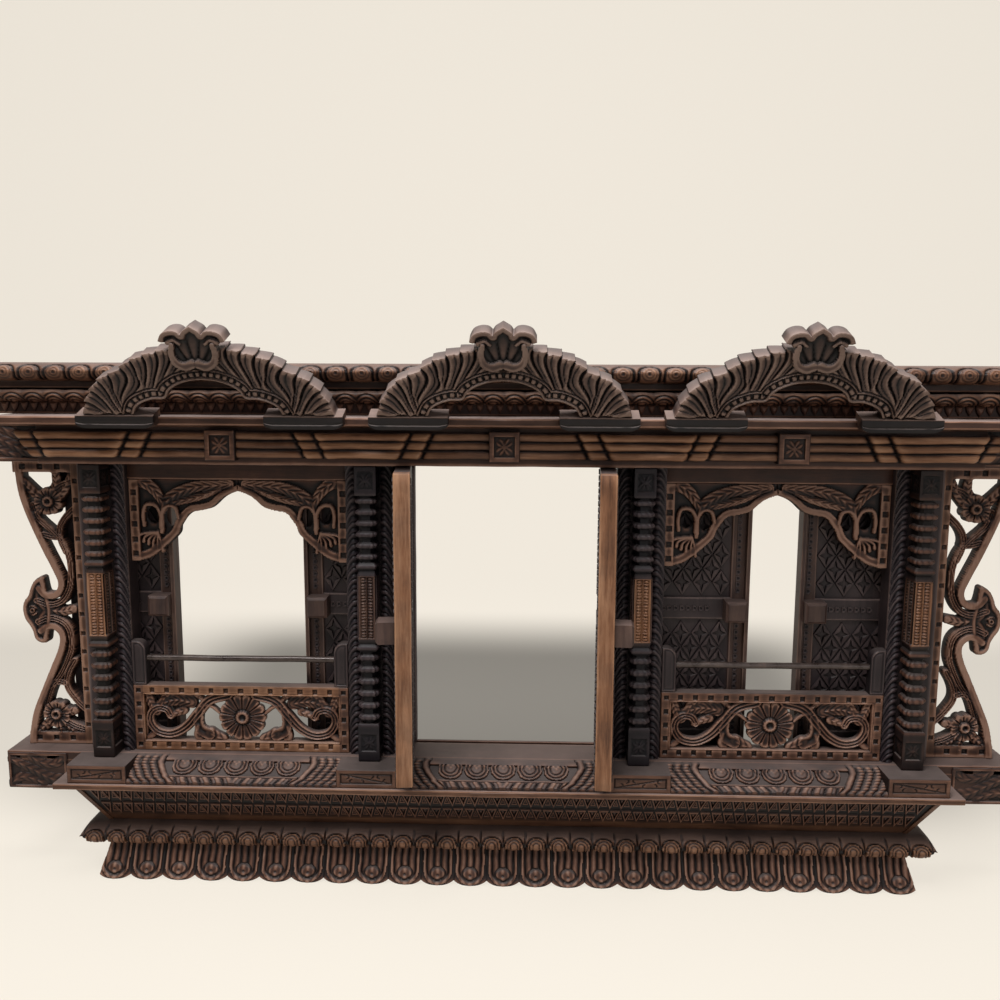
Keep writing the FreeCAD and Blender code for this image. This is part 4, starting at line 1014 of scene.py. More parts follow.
# %% The hipped panel and its triangles
apron = Span("apron_panel")
lotus = Span("apron_lotus")
skirt = Span("apron_skirt")
APRON_TAPER, APRON_FOOT_REACH = 24.0, 54.0
PANEL_STRIP, HIP_WIDE = 15.0, 6.0
slant = math.atan2(apron.front - APRON_FOOT_REACH, apron.height)
panel_z = np.linspace(apron.foot, apron.top, 8)
panel_share = (panel_z - apron.foot) / apron.height
panel_half = apron.right - APRON_TAPER * (1 - panel_share)
panel_reach = APRON_FOOT_REACH + (apron.front - APRON_FOOT_REACH) * panel_share - 2.0
along_front = np.linspace(-1, 1, 40)
rings = []
for half, reach, z in zip(panel_half, panel_reach, panel_z):
    x = along_front * half
    front_line = np.stack([x, reach + wander(x, 61, 0.3), np.full(len(x), z)], -1)
    back_line = np.array([(half, apron.back, z), (-half, apron.back, z)])
    rings.append(np.vstack([front_line, back_line]))
panel_clay = Clay()
# the panel's ground above its foot strip is painted darkest: painted shade between the triangles and under
# the ledge
strip_worn = np.where(panel_share < 0.22, 0.35, 0.0)
strip_relief = np.where(panel_share < 0.22, 0.1, -1.0)
panel_clay.tube(np.array(rings), strip_relief[:, None], strip_worn[:, None])
for side in (-1, 1):
    rings = []
    for half, reach, z in zip(panel_half, panel_reach, panel_z):
        inner = half - HIP_WIDE
        spots = ((half, reach - 6), (half, reach + 2.0), (inner, reach + 2.0), (inner, reach - 6))
        rings.append(np.array([(side * x, deep, z) for x, deep in spots]))
    panel_clay.tube(np.array(rings), 0.25, 0.3)
carved(panel_clay.mesh("apron_core"), "apron_panel")

TRIANGLE_PITCH, TRIANGLE_ROWS = 14.0, 2
TRIANGLE_TALL = (apron.height / math.cos(slant) - PANEL_STRIP) / TRIANGLE_ROWS


def triangle(pointing, size, rise):
    """A cut triangle on the slanted panel: a raised rim round a sunk field with a small peak in it."""
    half, tall = TRIANGLE_PITCH * 0.48 * size, TRIANGLE_TALL * 0.47 * size
    shape = np.array([(-half, -tall), (half, -tall), (0, tall)]) * (1, pointing)
    middle = shape.mean(0)
    rings = []
    for scale, height in ((1.0, -0.8), (0.88, rise), (0.6, rise), (0.46, 0.1), (0.12, 0.7 * rise)):
        u, v = (middle + (shape - middle) * scale).T
        reach = height * math.cos(slant) + v * math.sin(slant)
        rings.append(np.stack([u, reach, v * math.cos(slant) - height * math.sin(slant)], -1))
    return small_carving("triangle", rings, (-1.0, 0.7, 0.5, -1.0, 0.4))


triangles = {"down": (triangle(-1, 1.0, 2.4), 0), "up": (triangle(1, 0.6, 1.0), 1)}
for row in range(TRIANGLE_ROWS):
    z = apron.top - TRIANGLE_TALL * (row + 0.5) * math.cos(slant) - 1.0
    share = (z - apron.foot) / apron.height
    half = apron.right - APRON_TAPER * (1 - share) - HIP_WIDE - 2.0
    reach = APRON_FOOT_REACH + (apron.front - APRON_FOOT_REACH) * share - 2.0
    count = int(2 * half / TRIANGLE_PITCH)
    for title, (shape, fewer) in triangles.items():
        start = (-(count - fewer - 1) / 2 * TRIANGLE_PITCH, reach, z)
        made = carvings(f"apron_{title}_{row}", shape, carved_across, count - fewer, start,
                        (TRIANGLE_PITCH, 0, 0), uneven=0.05)
        carved(made, "apron_panel")

# %% The lotus roll
LOTUS_PITCH, LOTUS_ARCH = 28.2, 10.9
lotus_line = ((APRON_FOOT_REACH, lotus.top), (64, lotus.top - 2.4), (71.5, lotus.top - 6),
              (76.3, lotus.top - 11), (77.6, lotus.top - 15), (75.8, lotus.top - 19.5),
              (71, lotus.top - 22.8), (64, lotus.foot))


def carved_roll(name, span, line, height_of, seed, end_round=0.0):
    """A moulding along x: a line over its face, from the top down, that a height pushes out."""
    line = smooth_path(line, 5)
    s = np.concatenate([[0], np.cumsum(np.hypot(*np.diff(line, axis=0).T))])
    ways = np.gradient(line, axis=0)
    ways = ways / np.hypot(*ways.T)[:, None]
    x = np.linspace(span.left, span.right, round(span.width / 1.5))
    xx, ss = np.meshgrid(x, s, indexing="ij")
    height = height_of(xx + wander(ss * 5 + xx, seed, 0.4), ss, s[-1]) + wander(xx, seed + 1, 0.25)
    reach = line[:, 0] - ways[:, 1] * height
    z = line[:, 1] + ways[:, 0] * height
    corners = np.array(((span.back, line[-1, 1]), (span.back, line[0, 1])))
    middle = corners[:, 1].mean()
    squeeze = np.ones((len(x), 1))
    if end_round:
        inset = unit((abs(x) - span.right + end_round) / end_round)
        squeeze = np.sqrt(1 - 0.98 * inset**2)[:, None]
    skin = np.zeros((len(x), len(s) + 2, 3))
    skin[..., 0] = x[:, None]
    skin[..., 1] = np.hstack([reach, np.broadcast_to(corners[:, 0], (len(x), 2))])
    skin[..., 2] = middle + squeeze * (np.hstack([z, np.broadcast_to(corners[:, 1], (len(x), 2))]) - middle)
    relief = np.hstack([relief_of(height, 4, 1.4), np.zeros((len(x), 2))])
    clay = Clay()
    # worn paint on the raised carving of the rolls: wear and painted highlight
    clay.tube(skin, relief, unit(relief + 0.4) * 0.5)
    return clay.mesh(name)


def lotus_height(u, s, length):
    """Arches with a double line over the front of the roll, and seams between them up to its top."""
    off = abs(np.mod(u / LOTUS_PITCH, 1) - 0.5) * LOTUS_PITCH
    share = np.hypot(off, np.minimum(s - length * 0.63, 0)) / LOTUS_ARCH
    lines = ridge(share - 0.74, 0.08) + 0.8 * ridge(share - 0.4, 0.08)
    arch = 2.0 - 0.6 * share**2 - 2.0 * lines
    edge = LOTUS_PITCH / 2 - off
    seam = 1.9 * ridge(edge, 0.9) * unit((s - 7) / 5)
    beside = 2.4 * ridge(share - 1.06, 0.09) + 1.2 * unit((s - length * 0.5) / 6)
    return np.where(share < 1, arch, 0.8 - np.maximum(seam, beside)) - 1.2


roll = carved_roll("lotus_arches", lotus, lotus_line, lotus_height, 63, end_round=lotus.height / 2)
carved(roll, "apron_lotus")

# %% The petal skirt
PETALS = 25
SKIRT_TOP_REACH, SKIRT_DROP, SKIRT_FLARE, SKIRT_THICK = 62.0, 6.0, 11.0, 14.0
skirt_pitch = skirt.width / PETALS
skirt_slant = math.atan2(skirt.front - SKIRT_TOP_REACH, skirt.height)
skirt_long = math.hypot(skirt.front - SKIRT_TOP_REACH, skirt.height)


def skirt_board():
    """Hanging petals side by side: a rim round strips that end in a seed cup. v runs down."""
    board = Board((-skirt.right, skirt.right), (0, skirt_long), 1.1)
    u, v = board.u, board.v
    place = u / skirt_pitch + (PETALS - 1) / 2
    off = (place - np.round(place)) * skirt_pitch + wander(v * 3 + np.round(place) * 50, 66, 0.5)
    foot = skirt_long - SKIRT_DROP * (2 * abs(off) / skirt_pitch) ** 2.6
    ends = skirt.right - SKIRT_FLARE * (1 - v / skirt_long) - abs(u)
    board.inside = np.minimum.reduce([foot - v, ends, v + 0.01])
    half = skirt_pitch * 0.44
    tip = skirt_long - half - 1.0
    inner = half - np.hypot(off, np.maximum(v - tip, 0))
    lines = ridge(inner - 4.6, 0.75)
    strips = ridge(abs(abs(off) - 4.4), 0.75) * (inner > 5) * (v < tip - 3)
    seed = np.hypot(off / 9.5, (v - tip - 4.5) / 7.5)
    cup = ridge(seed - 1.0, 0.13) * (inner > 4)
    dot = ridge(np.hypot(off, v - tip - 6), 1.5)
    bulge = 1.2 * np.sqrt(unit(1 - seed**2))
    field = 2.6 + 0.5 * np.cos(off * 0.72) + bulge - 2.0 * np.maximum.reduce([lines, strips, cup, dot])
    gap = skirt_pitch / 2 - abs(off)
    behind = 0.9 - 1.0 * ridge(gap, 0.6)
    board.height = np.where(inner > 0, field, behind) - 3.0
    board.worn = np.where(inner > 0, 0.03, 0.0)
    return board


def flared(u, v, height):
    """Places the skirt: its face slants forward on the way down, and its back stays above the foot."""
    reach = SKIRT_TOP_REACH + v * math.sin(skirt_slant) + height * math.cos(skirt_slant)
    return u, reach, skirt.top - v * math.cos(skirt_slant) + np.maximum(height, 0) * math.sin(skirt_slant)


carved(skirt_board().mesh("skirt_petals", flared, SKIRT_THICK, ease=0.8), "apron_skirt", carved_upright)

# %% [markdown]
# ## Flower blocks and cornice
# Three square blocks with a framed flower sit on the ribs. The cornice above the shelf has a frieze of
# hanging teeth, a roll of overlapping fans and a large roll of round ringed buns. The teeth are a row
# from the tree on a plain core. Fans and buns run into each other, so each roll is one section with a
# height.

# %% Flower blocks on the ribs
flower_blocks = Span("lintel_flower_blocks")
FLOWER_HALF = flower_blocks.right - bays["right"]


def four_petals(u, v, size, depth):
    """A sunk square field with a flower of four diagonal petals left standing. u and v from its middle."""
    angle, distance = np.arctan2(v, u), np.hypot(u, v)
    petal = abs(np.sin(2 * angle)) ** 0.8
    edge = size * (0.28 + 0.72 * petal)
    ground = np.where(np.maximum(abs(u), abs(v)) < size, -depth, 0.0)
    rib = 0.5 * depth * ridge(petal - 1, 0.06)
    standing = -0.15 * depth - rib - 0.5 * depth * (distance / np.maximum(edge, 0.1)) ** 2
    button = -depth * 0.1 * np.ones_like(u)
    height = np.where(distance < edge, np.maximum(ground, standing), ground)
    return np.where(distance < 0.2 * size, button, height)


flower_clay = Clay()
for middle in bays.values():
    square = (-FLOWER_HALF, FLOWER_HALF)
    board = Board(square, square, 0.8)
    board.plate(square, square, worn=0.08)
    board.height += four_petals(board.u, board.v, FLOWER_HALF * 0.68, 2.4)
    place = facing(middle, sum(flower_blocks.z) / 2, flower_blocks.front)
    board.solid(flower_clay, place, flower_blocks.front - flower_blocks.back)
carved(flower_clay.mesh("flower_blocks"), "lintel_flower_blocks")

# %% Cornice frieze with hanging teeth
frieze = Span("cornice_frieze")
lower = Span("cornice_lower_lotus")
upper = Span("cornice_upper_lotus")
TOOTH_PITCH, TOOTH_RISE = 12.0, 4.0
core = Clay()
core_reach = (frieze.back, frieze.front - TOOTH_RISE)
timber(core, frieze.x, core_reach, frieze.z, seed=71)
carved(core.mesh("frieze_core"), "cornice_frieze")


def tooth():
    """A small hanging tooth, wide above and pointed below."""
    half, tall = TOOTH_PITCH * 0.44, frieze.height * 0.8
    side, low = half * 0.75, -tall * 0.5
    shape = np.array([(-half, 0), (half, 0), (side, low), (0, -tall), (-side, low)])
    middle = shape.mean(0)
    rings = []
    for scale, reach in ((1.0, -1.0), (0.92, TOOTH_RISE * 0.55), (0.35, TOOTH_RISE)):
        spots = middle + (shape - middle) * scale
        rings.append(np.stack([spots[:, 0], np.full(5, reach), spots[:, 1]], -1))
    return small_carving("tooth", rings, (-1.0, 0.2, 0.7), sharp_angle=25)


count = int(frieze.width / TOOTH_PITCH)
start = (-(count - 1) / 2 * TOOTH_PITCH, frieze.front - TOOTH_RISE, frieze.top - 1.0)
row = carvings("frieze_teeth", tooth(), carved_across, count, start, (TOOTH_PITCH, 0, 0), uneven=0.08)
carved(row, "cornice_frieze")

# %% Lower roll with fans
FAN_PITCH, FAN_ROUND = 25.0, 14.5
lower_line = ((64, lower.top), (74, lower.top - 0.8), (79, lower.top - 4), (79.6, lower.top - 8),
              (77, lower.top - 12), (70, lower.foot))


def fan_height(u, s, length):
    """Overlapping fans of three arcs each, standing on the foot of the roll."""
    off = np.mod(u / FAN_PITCH, 1) * FAN_PITCH - FAN_PITCH * 0.45
    share = np.hypot(off, s - length + 1) / FAN_ROUND
    arcs = sum(ridge(share - place, 0.07) for place in (0.36, 0.66, 0.96))
    return 1.4 - 0.9 * share**2 - 1.8 * arcs


carved(carved_roll("lower_fans", lower, lower_line, fan_height, 72), "cornice_lower_lotus")

# %% Upper roll with round petals
NECK_TALL, NECK_REACH = 11.0, 68.0
ROUND_PITCH, ROUND_SIZE = 30.4, 12.4
neck = Clay()
neck_z = (upper.foot, upper.foot + NECK_TALL)
timber(neck, upper.x, (upper.back, NECK_REACH), neck_z, seed=73)
carved(neck.mesh("cornice_groove"), "cornice_upper_lotus")
upper_line = ((62, upper.top), (76, upper.top - 0.8), (84.5, upper.top - 4), (88.2, upper.top - 9),
              (88.2, upper.top - 13), (85, upper.top - 18), (78, upper.top - 21.2), (68, upper.top - 22))


def bun_height(u, s, length):
    """Round buns with rings about a button, each under an arched groove."""
    off = (np.mod(u / ROUND_PITCH, 1) - 0.5) * ROUND_PITCH
    down = s - length * 0.56
    arch = np.hypot(off, np.minimum(down, 0)) / ROUND_SIZE
    share = np.hypot(off, down) / ROUND_SIZE
    rings = ridge(share - 0.7, 0.08) + ridge(share - 0.38, 0.08)
    bun = np.where(arch < 1, 1.3 * (1 - arch**2) - 0.9 * rings, 0.0)
    return bun - 2.6 * ridge(arch - 1, 0.1) - 1.6 * ridge(share - 0.08, 0.1) - 0.6


carved(carved_roll("upper_buns", upper, upper_line, bun_height, 74), "cornice_upper_lotus")

# %% [markdown]
# ## Posts
# A post is one square timber cut into zones: a flower block at the foot and head, stacks of six rings
# notched into beads, bevelled collars, and a shaft whose front shows two columns of small scales, rubbed
# to copper. A stack of boxes and rings would show its seams. The post is one skin instead: a square ring
# of points at about each millimetre of height, cut at its corners and pushed in and out by its zone.

# %% One post
POST_ZONES = (("block", 49), ("rings", 92), ("collar", 10), ("shaft", 92), ("collar", 10), ("rings", 82),
              ("block", 37))
RINGS, RING_SHARE, BEADS = 6, 0.56, 3
FACE_POINTS, LAYER = 22, 1.2
SCALE_PITCH, SCALE_AT, SCALE_WIDE = 7.6, 0.40, 0.30


def square_ring():
    """Points round a square of half size 1, and each one's place (-1 to 1) along its face."""
    w = np.linspace(-1, 1, FACE_POINTS, endpoint=False)
    a = np.concatenate([w, np.ones(FACE_POINTS), -w, -np.ones(FACE_POINTS)])
    b = np.concatenate([np.ones(FACE_POINTS), -w, -np.ones(FACE_POINTS), w])
    return a, b, np.tile(w, 4)


def post_zone(kind, t, length, w):
    """Inset, corner cut, carving and wear of a zone, at heights t from 0 to 1."""
    t, w = np.meshgrid(t, w, indexing="ij")
    z = (t - 0.5) * length
    inset, corner, carve, worn = np.zeros((4, *t.shape))
    ends = np.minimum(t, 1 - t) * length
    if kind == "block":
        carve = four_petals(w * 13, z, 10.5, 1.7)
        inset = 1.2 * unit(1 - ends / 1.5)
    elif kind == "rings":
        phase = np.mod(t * RINGS, 1) * 2 - 1
        ring = np.sqrt(unit(1 - (phase / RING_SHARE) ** 2))
        notch = abs(np.sin(math.pi * BEADS * (w + 1) / 2)) ** 0.5
        inset = 4.2 * (1 - ring)
        corner = 0.34 + 0.1 * (1 - ring)
        carve = -0.9 * (1 - notch) * (ring > 0.15)
    elif kind == "collar":
        inset = 4.0 * unit(abs(t - 0.5) * 2 - 0.2)
        corner = np.full(t.shape, 0.12)
    else:
        corner = 0.28 * unit(ends / 9)
        inset = 3.0 - 2.2 * unit(ends / 6)
        scale = np.mod(z / SCALE_PITCH, 1) - 0.5
        column = (abs(w) - SCALE_AT) / SCALE_WIDE
        scales = np.sqrt(unit(1 - column**2 - (scale * 2.1) ** 2)) - 0.8 * ridge(scale, 0.12)
        lines = np.maximum(ridge(w, 0.07), ridge(abs(w) - 0.8, 0.08))
        carve = np.where(ends > 8, 2.6 * np.maximum(scales, lines) - 2.0, 0)
        worn = np.where((ends > 6) & (abs(w) < 0.92), 1.0, 0.1)
    return inset, corner, carve, worn


def post_mesh(name, span, rubbed_and_highlight, deep):
    a, b, w = square_ring()
    layers, heights, start = [], [], span.foot
    unit = span.height / sum(length for _, length in POST_ZONES)
    for kind, length in POST_ZONES:
        t = np.linspace(0, 1, round(length / LAYER) + 1)
        layers.append(np.stack(post_zone(kind, t, length * unit, w)))
        heights.append(start + t * length * unit)
        start += length * unit
    inset, corner, carve, worn = np.concatenate(layers, 1)
    z = np.concatenate(heights)
    cut = np.minimum(1, (2 - corner) / (abs(a) + abs(b)))
    out = carve - inset + wander(z, len(name), 0.25)[:, None]
    x = span.middle + a * cut * (span.width / 2 + out)
    reach = (span.front + span.back) / 2 + b * cut * ((span.front - span.back) / 2 + out)
    front_only = np.where(b > 0.99, worn, worn * 0.2) * rubbed_and_highlight
    clay = Clay()
    relief = relief_of(out, 3, 1.6) - deep + 0.6 * front_only
    clay.tube(np.stack([x, reach, np.broadcast_to(z[:, None], x.shape)], -1), relief, front_only)
    return clay.mesh(name)


POST_LOOKS = ((1.0, 0.5, carved_upright), (0.3, 0.4, rope_wood),
              (1.0, 0.4, rope_wood), (0.8, 0.5, carved_upright))
for number, (span, (rubbed_and_highlight, deep, finish)) in enumerate(zip(posts, POST_LOOKS), start=1):
    carved(post_mesh(f"carved_post_{number}", span, rubbed_and_highlight, deep), f"post_{number}", finish)

# %% [markdown]
# ## Rope mouldings
# A half-round moulding stands at each side of each bay, cut as a stack of slanted S-shaped strands and
# almost black. A twisted curve could be bent along it, but the strands overlap like scales. The half
# round is unrolled to an angle and a height, and a wave that leans with the angle raises each strand.

# %% Six ropes
rope = Span("rope_mouldings")
ROPE_HALF = BAY_HALF + (posts[0].left - jamb.left) / 2
ROPE_ROUND, STRAND, CURL = 8.0, 14.5, 0.42


def rope_side(clay, middle, lean):
    turn = np.linspace(-math.pi / 2, math.pi / 2, 23)
    z = np.linspace(rope.foot, rope.top, 330)
    zz, tt = np.meshgrid(z, turn, indexing="ij")
    curl = CURL * np.maximum(lean * tt + 0.4, 0) ** 2
    phase = zz / STRAND + curl + wander(zz, round(abs(middle)), 0.1)
    ramp = np.mod(phase, 1)
    strand = np.sin(math.pi * ramp**0.8) ** 0.5
    gouges = 0.55 * ridge(ramp - 0.52, 0.08)
    height = 3.6 * (strand - gouges) - 3.0
    across = (ROPE_ROUND + height) * np.sin(tt)
    reach = rope.back + np.maximum((ROPE_ROUND + height) * np.cos(tt), 0.05)
    clay.tube(np.stack([middle + across, reach, zz], -1), relief_of(height, 4, 1.6))


rope_clay = Clay()
for middle in bays.values():
    for side in (-1, 1):
        rope_side(rope_clay, middle + side * ROPE_HALF, -side)
carved(rope_clay.mesh("ropes"), "rope_mouldings", rope_wood)
print("rope places:", round(ROPE_HALF, 1), "mm to each side of a bay's middle")

# %% [markdown]
# ## Pierced spandrels
# The side bays end above in two cusped boards. A smooth rim follows the cusps, two long leaves reach to
# the middle, a short one fills the corner, a fan opens over the foot and two tall gaps are sawn beside a
# stem. A stile with square marks meets the jamb. The board is drawn for the right side of a bay, with u
# from the bay's middle and v up from the head rail's foot, and mirrored for the left.

# %% Four spandrels
CUSPS = ((0, -5), (16, -13), (31, -26), (44, -30), (60, -34), (72, -48), (77, -62), (108, -88), (130, -94),
         (138, -95))
RIM = ((-1, -1.5), (18, -9), (34, -22), (46, -26), (63, -30), (76, -46), (83, -60), (111, -83.5),
       (126, -89.5))
SPANDREL_FOOT, SPANDREL_RISE, SPANDREL_STILE = -96, 4.0, 12
SPANDREL_LEAVES = (
    (((92, -21), (76, -9), (54, -1), (33, 1), (10, 3)), 19, 1.0, fluted(8, 1.6), (0.9, 0.6)),
    (((93, -26), (78, -19), (60, -16), (42, -11), (22, -3)), 12, 0.85, fluted(7, 1.6), (1.1, 0.6)),
    (((95, -22), (103, -8), (112, 1), (121, 6)), 15, 1.0, fluted(4, 1.4), (0.7, 1.1)),
)
SPANDREL_STEMS = (
    ((99, -52), (97, -34), (90, -25), (80, -27), (76, -40)),
    ((97, -54), (99, -34), (106, -24), (117, -24), (121, -36), (120, -50)),
    ((98, -58), (97, -38), (94, -20)),
)
FAN_LEAVES = 6


def spandrel_board():
    board = Board((0, BAY_HALF), (SPANDREL_FOOT, HEAD_LAP), 1.0)
    board.outline(np.vstack([smooth_path(CUSPS), [(BAY_HALF, HEAD_LAP), (0, HEAD_LAP)]]))
    board.height[:] = -2.4
    for path, width, rise, pattern, taper in SPANDREL_LEAVES:
        board.band(path, width, SPANDREL_RISE * rise, pattern, taper)
    for path in SPANDREL_STEMS:
        board.band(path, 5.5, SPANDREL_RISE, rounded, (1.1, 0.9))
    for turn in range(FAN_LEAVES):
        path = ((103, -58), (99 + 5 * turn, -74 + 2.5 * turn), (98 + 6 * turn, -83 + 3 * turn))
        board.band(path, 4.5, SPANDREL_RISE * 0.7, rounded, (0.6, 1.0))
    board.band(RIM, 9, SPANDREL_RISE * 0.6, smooth, (0.8, 1.2))
    stile = (BAY_HALF - SPANDREL_STILE, BAY_HALF)
    board.plate(stile, (SPANDREL_FOOT, HEAD_LAP), SPANDREL_RISE * 0.8, worn=0.08)
    board.rosettes([(BAY_HALF - SPANDREL_STILE / 2, v) for v in (-8, -28, -48, -68, -86)], 3.2, 2.2)
    board.pierce((86.5, -39), 6.5, 12.0)
    board.pierce((109.5, -37), 7.5, 11.0)
    return board


for bay_name in ("left", "right"):
    for side_name, side in (("left", -1), ("right", 1)):
        node = f"spandrel_{bay_name}_bay_{side_name}"
        span = Span(node)
        face = span.front - SPANDREL_RISE
        place = facing(bays[bay_name], span.top - HEAD_LAP, face, side)
        carved(spandrel_board().mesh(f"cusped_{bay_name}_{side_name}", place, face - span.back), node)

# %% [markdown]
# ## Parapets and guard rods
# A parapet is a low frame with a row of square rosettes on each rail, around a pierced scroll: a flower of
# many petals in the middle and a grooved stem that curls to both sides. The left one's rails are worn to
# bare orange wood. Above each parapet an iron rod runs between two cheeks. A rod is a tube with a slight
# bend, because a straight cylinder would look new.

# %% Parapet frames
RAIL = 13.0


def parapet_frame(wide, tall, rubbed_and_highlight):
    """Two rails and two stiles with a line round the opening and a square mark at every step."""
    board = Board((-wide / 2, wide / 2), (0, tall), 1.1)
    inner = np.maximum(abs(board.u) - (wide / 2 - RAIL), abs(board.v - tall / 2) - (tall / 2 - RAIL))
    outer = np.minimum(wide / 2 - abs(board.u), tall / 2 - abs(board.v - tall / 2))
    board.inside = np.minimum(inner, outer)
    stile = abs(board.u) > wide / 2 - RAIL
    board.worn = np.where(stile, 0.1, rubbed_and_highlight)
    board.height -= 0.8 * ridge(inner - 2.2, 0.8)
    marks = np.linspace(-wide / 2 + 24, wide / 2 - 24, 13)
    board.rosettes([(u, v) for u in marks for v in (RAIL / 2 + 0.6, tall - RAIL / 2 - 0.6)], 2.9, 2.2)
    stiles = (RAIL / 2 - wide / 2, wide / 2 - RAIL / 2)
    board.rosettes([(u, v) for u in stiles for v in np.linspace(8, tall - 8, 5)], 3.0, 2.2)
    return board


for name, rubbed_and_highlight in (("left", 0.66), ("right", 0.12)):
    span = Span(f"parapet_frame_{name}")
    board = parapet_frame(span.width, span.height, rubbed_and_highlight)
    place = facing(span.middle, span.foot, span.front)
    carved(board.mesh(f"parapet_rails_{name}", place, span.front - span.back), f"parapet_frame_{name}")

# %% Parapet scrolls
SCROLL_RISE = 4.0
SCROLL_STEMS = (
    (((18, 30), (42, 22), (58, 4), (74, -14), (92, -23), (110, -20), (119, -8), (118, 4), (109, 11), (98, 9),
      (93, 1)), 12.5, grooved, (1.2, 0.8)),
    (((54, 10), (57, -6), (54, -17), (44, -23)), 12, hollow, (0.8, 1.3)),
)
SCROLL_LEAVES = (
    (((96, 0), (86, 4), (76, 8)), 10, fluted(3), (0.6, 1.2)),
    (((112, 8), (100, 18), (84, 22), (66, 19)), 19, fluted(7, 1.6), (0.8, 0.9)),
    (((104, 14), (100, 24), (92, 30)), 12, fluted(3), (1.0, 1.0)),
    (((114, 6), (118, 18), (123, 28)), 12, fluted(4), (0.9, 1.1)),
    (((42, -22), (35, -26), (27, -29)), 15, fluted(2), (1.1, 0.9)),
    (((58, -12), (60, -24), (56, -30)), 9, rounded, (0.7, 1.2)),
    (((50, 22), (60, 29), (74, 30)), 9, fluted(3), (0.8, 0.9)),
    (((112, -20), (120, -27), (126, -30)), 9, rounded, (1.0, 1.0)),
    (((121, -6), (125, -14), (126, -24)), 7, rounded, (1.0, 1.0)),
    (((30, 6), (40, 14), (50, 16)), 6, rounded, (0.8, 1.0)),
)


def parapet_scroll(half, tall):
    """Leaves first, then the stems over them, to both sides of a flower."""
    board = Board((-half, half), (-tall, tall), 1.0)
    for mirror in (False, True):
        for path, width, pattern, taper in SCROLL_LEAVES:
            board.band(path, width, SCROLL_RISE * 0.85, pattern, taper, mirror)
        for path, width, pattern, taper in SCROLL_STEMS:
            board.band(path, width, SCROLL_RISE, pattern, taper, mirror)
    board.flower((0, 0), tall, 14, SCROLL_RISE * 1.1, 0.3)
    return board


for name in ("left", "right"):
    span = Span(f"parapet_scroll_{name}")
    face = span.front - SCROLL_RISE
    place = facing(span.middle, sum(span.z) / 2, face)
    board = parapet_scroll(span.width / 2, span.height / 2)
    carved(board.mesh(f"parapet_vine_{name}", place, face - span.back), f"parapet_scroll_{name}")

# %% Guard rods and their cheeks
rods = Span("guard_rods")
cheeks = Span("rod_cheeks")
ROD_ROUND = rods.height / 2
rod_middle = (sum(rods.reach) / 2, sum(rods.z) / 2)
CHEEK_WIDE, CHEEK_FLAT = 18.0, 6
rod_clay, cheek_clay = Clay(), Clay()
turns = np.linspace(0, 2 * math.pi, 18, endpoint=False)
for bay_name in ("left", "right"):
    middle = bays[bay_name]
    x = np.linspace(-(rods.right - bays["right"]), rods.right - bays["right"], 44)
    bend = np.stack([wander(x, 81, 0.25), wander(x, 82, 0.25)], -1)
    bend *= unit((x.max() - abs(x)) / 20)[:, None]
    ring = rod_middle + ROD_ROUND * np.stack([np.cos(turns), np.sin(turns)], -1)
    skin = np.zeros((len(x), len(turns), 3))
    skin[..., 0] = middle + x[:, None]
    skin[..., 1:] = ring[None] + bend[:, None]
    rod_clay.tube(skin)
    for side in (-1, 1):
        board = Board((0, CHEEK_WIDE), (0, cheeks.height), 1.0)
        board.plate((0, CHEEK_WIDE), (0, cheeks.height))
        over = np.maximum(board.v - cheeks.height + CHEEK_WIDE - CHEEK_FLAT, 0)
        shoulder = np.hypot(np.maximum(board.u - CHEEK_FLAT, 0), over)
        board.inside = np.minimum(board.inside, CHEEK_WIDE - CHEEK_FLAT - shoulder)
        board.height -= 1.0 * ridge(board.inside - 3.4, 0.8)
        place = facing(middle + side * BAY_HALF, cheeks.foot, cheeks.front, -side)
        board.solid(cheek_clay, place, cheeks.front - cheeks.back)
show(rod_clay.mesh("iron_rods"), rod_finish, FRAME, "rod_iron", "guard_rods")
carved(cheek_clay.mesh("cheeks"), "rod_cheeks", leaf_finish)

# %% [markdown]
# ## Wings
# Beside the outer posts stand two tall pierced wings. A stile with rosettes meets the post and two rails
# close the top and foot. From there a broad smooth rim swings out, in to the middle and out again round a
# volute, with stems and two flowers inside it. All of it is drawn for the right wing and mirrored for the
# left.

# %% The wing's drawing
STILE, WING_RAIL, WING_RISE, WING_WIDE = 14.0, 16.0, 6.0, 88
WING_RIMS = (
    ((80.5, 372), (77.4, 335), (71.5, 311), (62, 285), (50, 256), (40, 234), (33.5, 216), (36.5, 203),
     (45.5, 197.5), (56, 199), (63, 207)),
    ((83.5, 0), (80.5, 22), (75, 44), (62.5, 73), (48.5, 104), (39.5, 124), (35.7, 139), (37.6, 150),
     (46.5, 157.5), (56, 156.5), (64, 151)),
)
WING_INNER = (
    ((64, 316), (58.5, 298), (41.5, 281), (28.5, 266), (22, 246), (21, 227), (24, 207), (34.5, 191),
     (50, 186), (67, 191)),
    ((63, 51), (54.5, 75), (40.5, 95), (30, 116), (25, 133), (27, 153), (36, 164), (51, 168.5), (67, 163)),
)
WING_STEMS = (
    ((12, 311), (25, 298), (32, 285), (32, 271), (26, 255)),
    ((53, 277), (42, 274), (32, 274)),
    ((14, 345), (30, 338), (44, 322)),
    ((11, 46), (22, 57), (33, 73), (35, 85), (31, 98), (23, 112)),
    ((62, 74), (48, 83), (37, 82)),
    ((14, 20), (30, 26), (50, 40)),
)
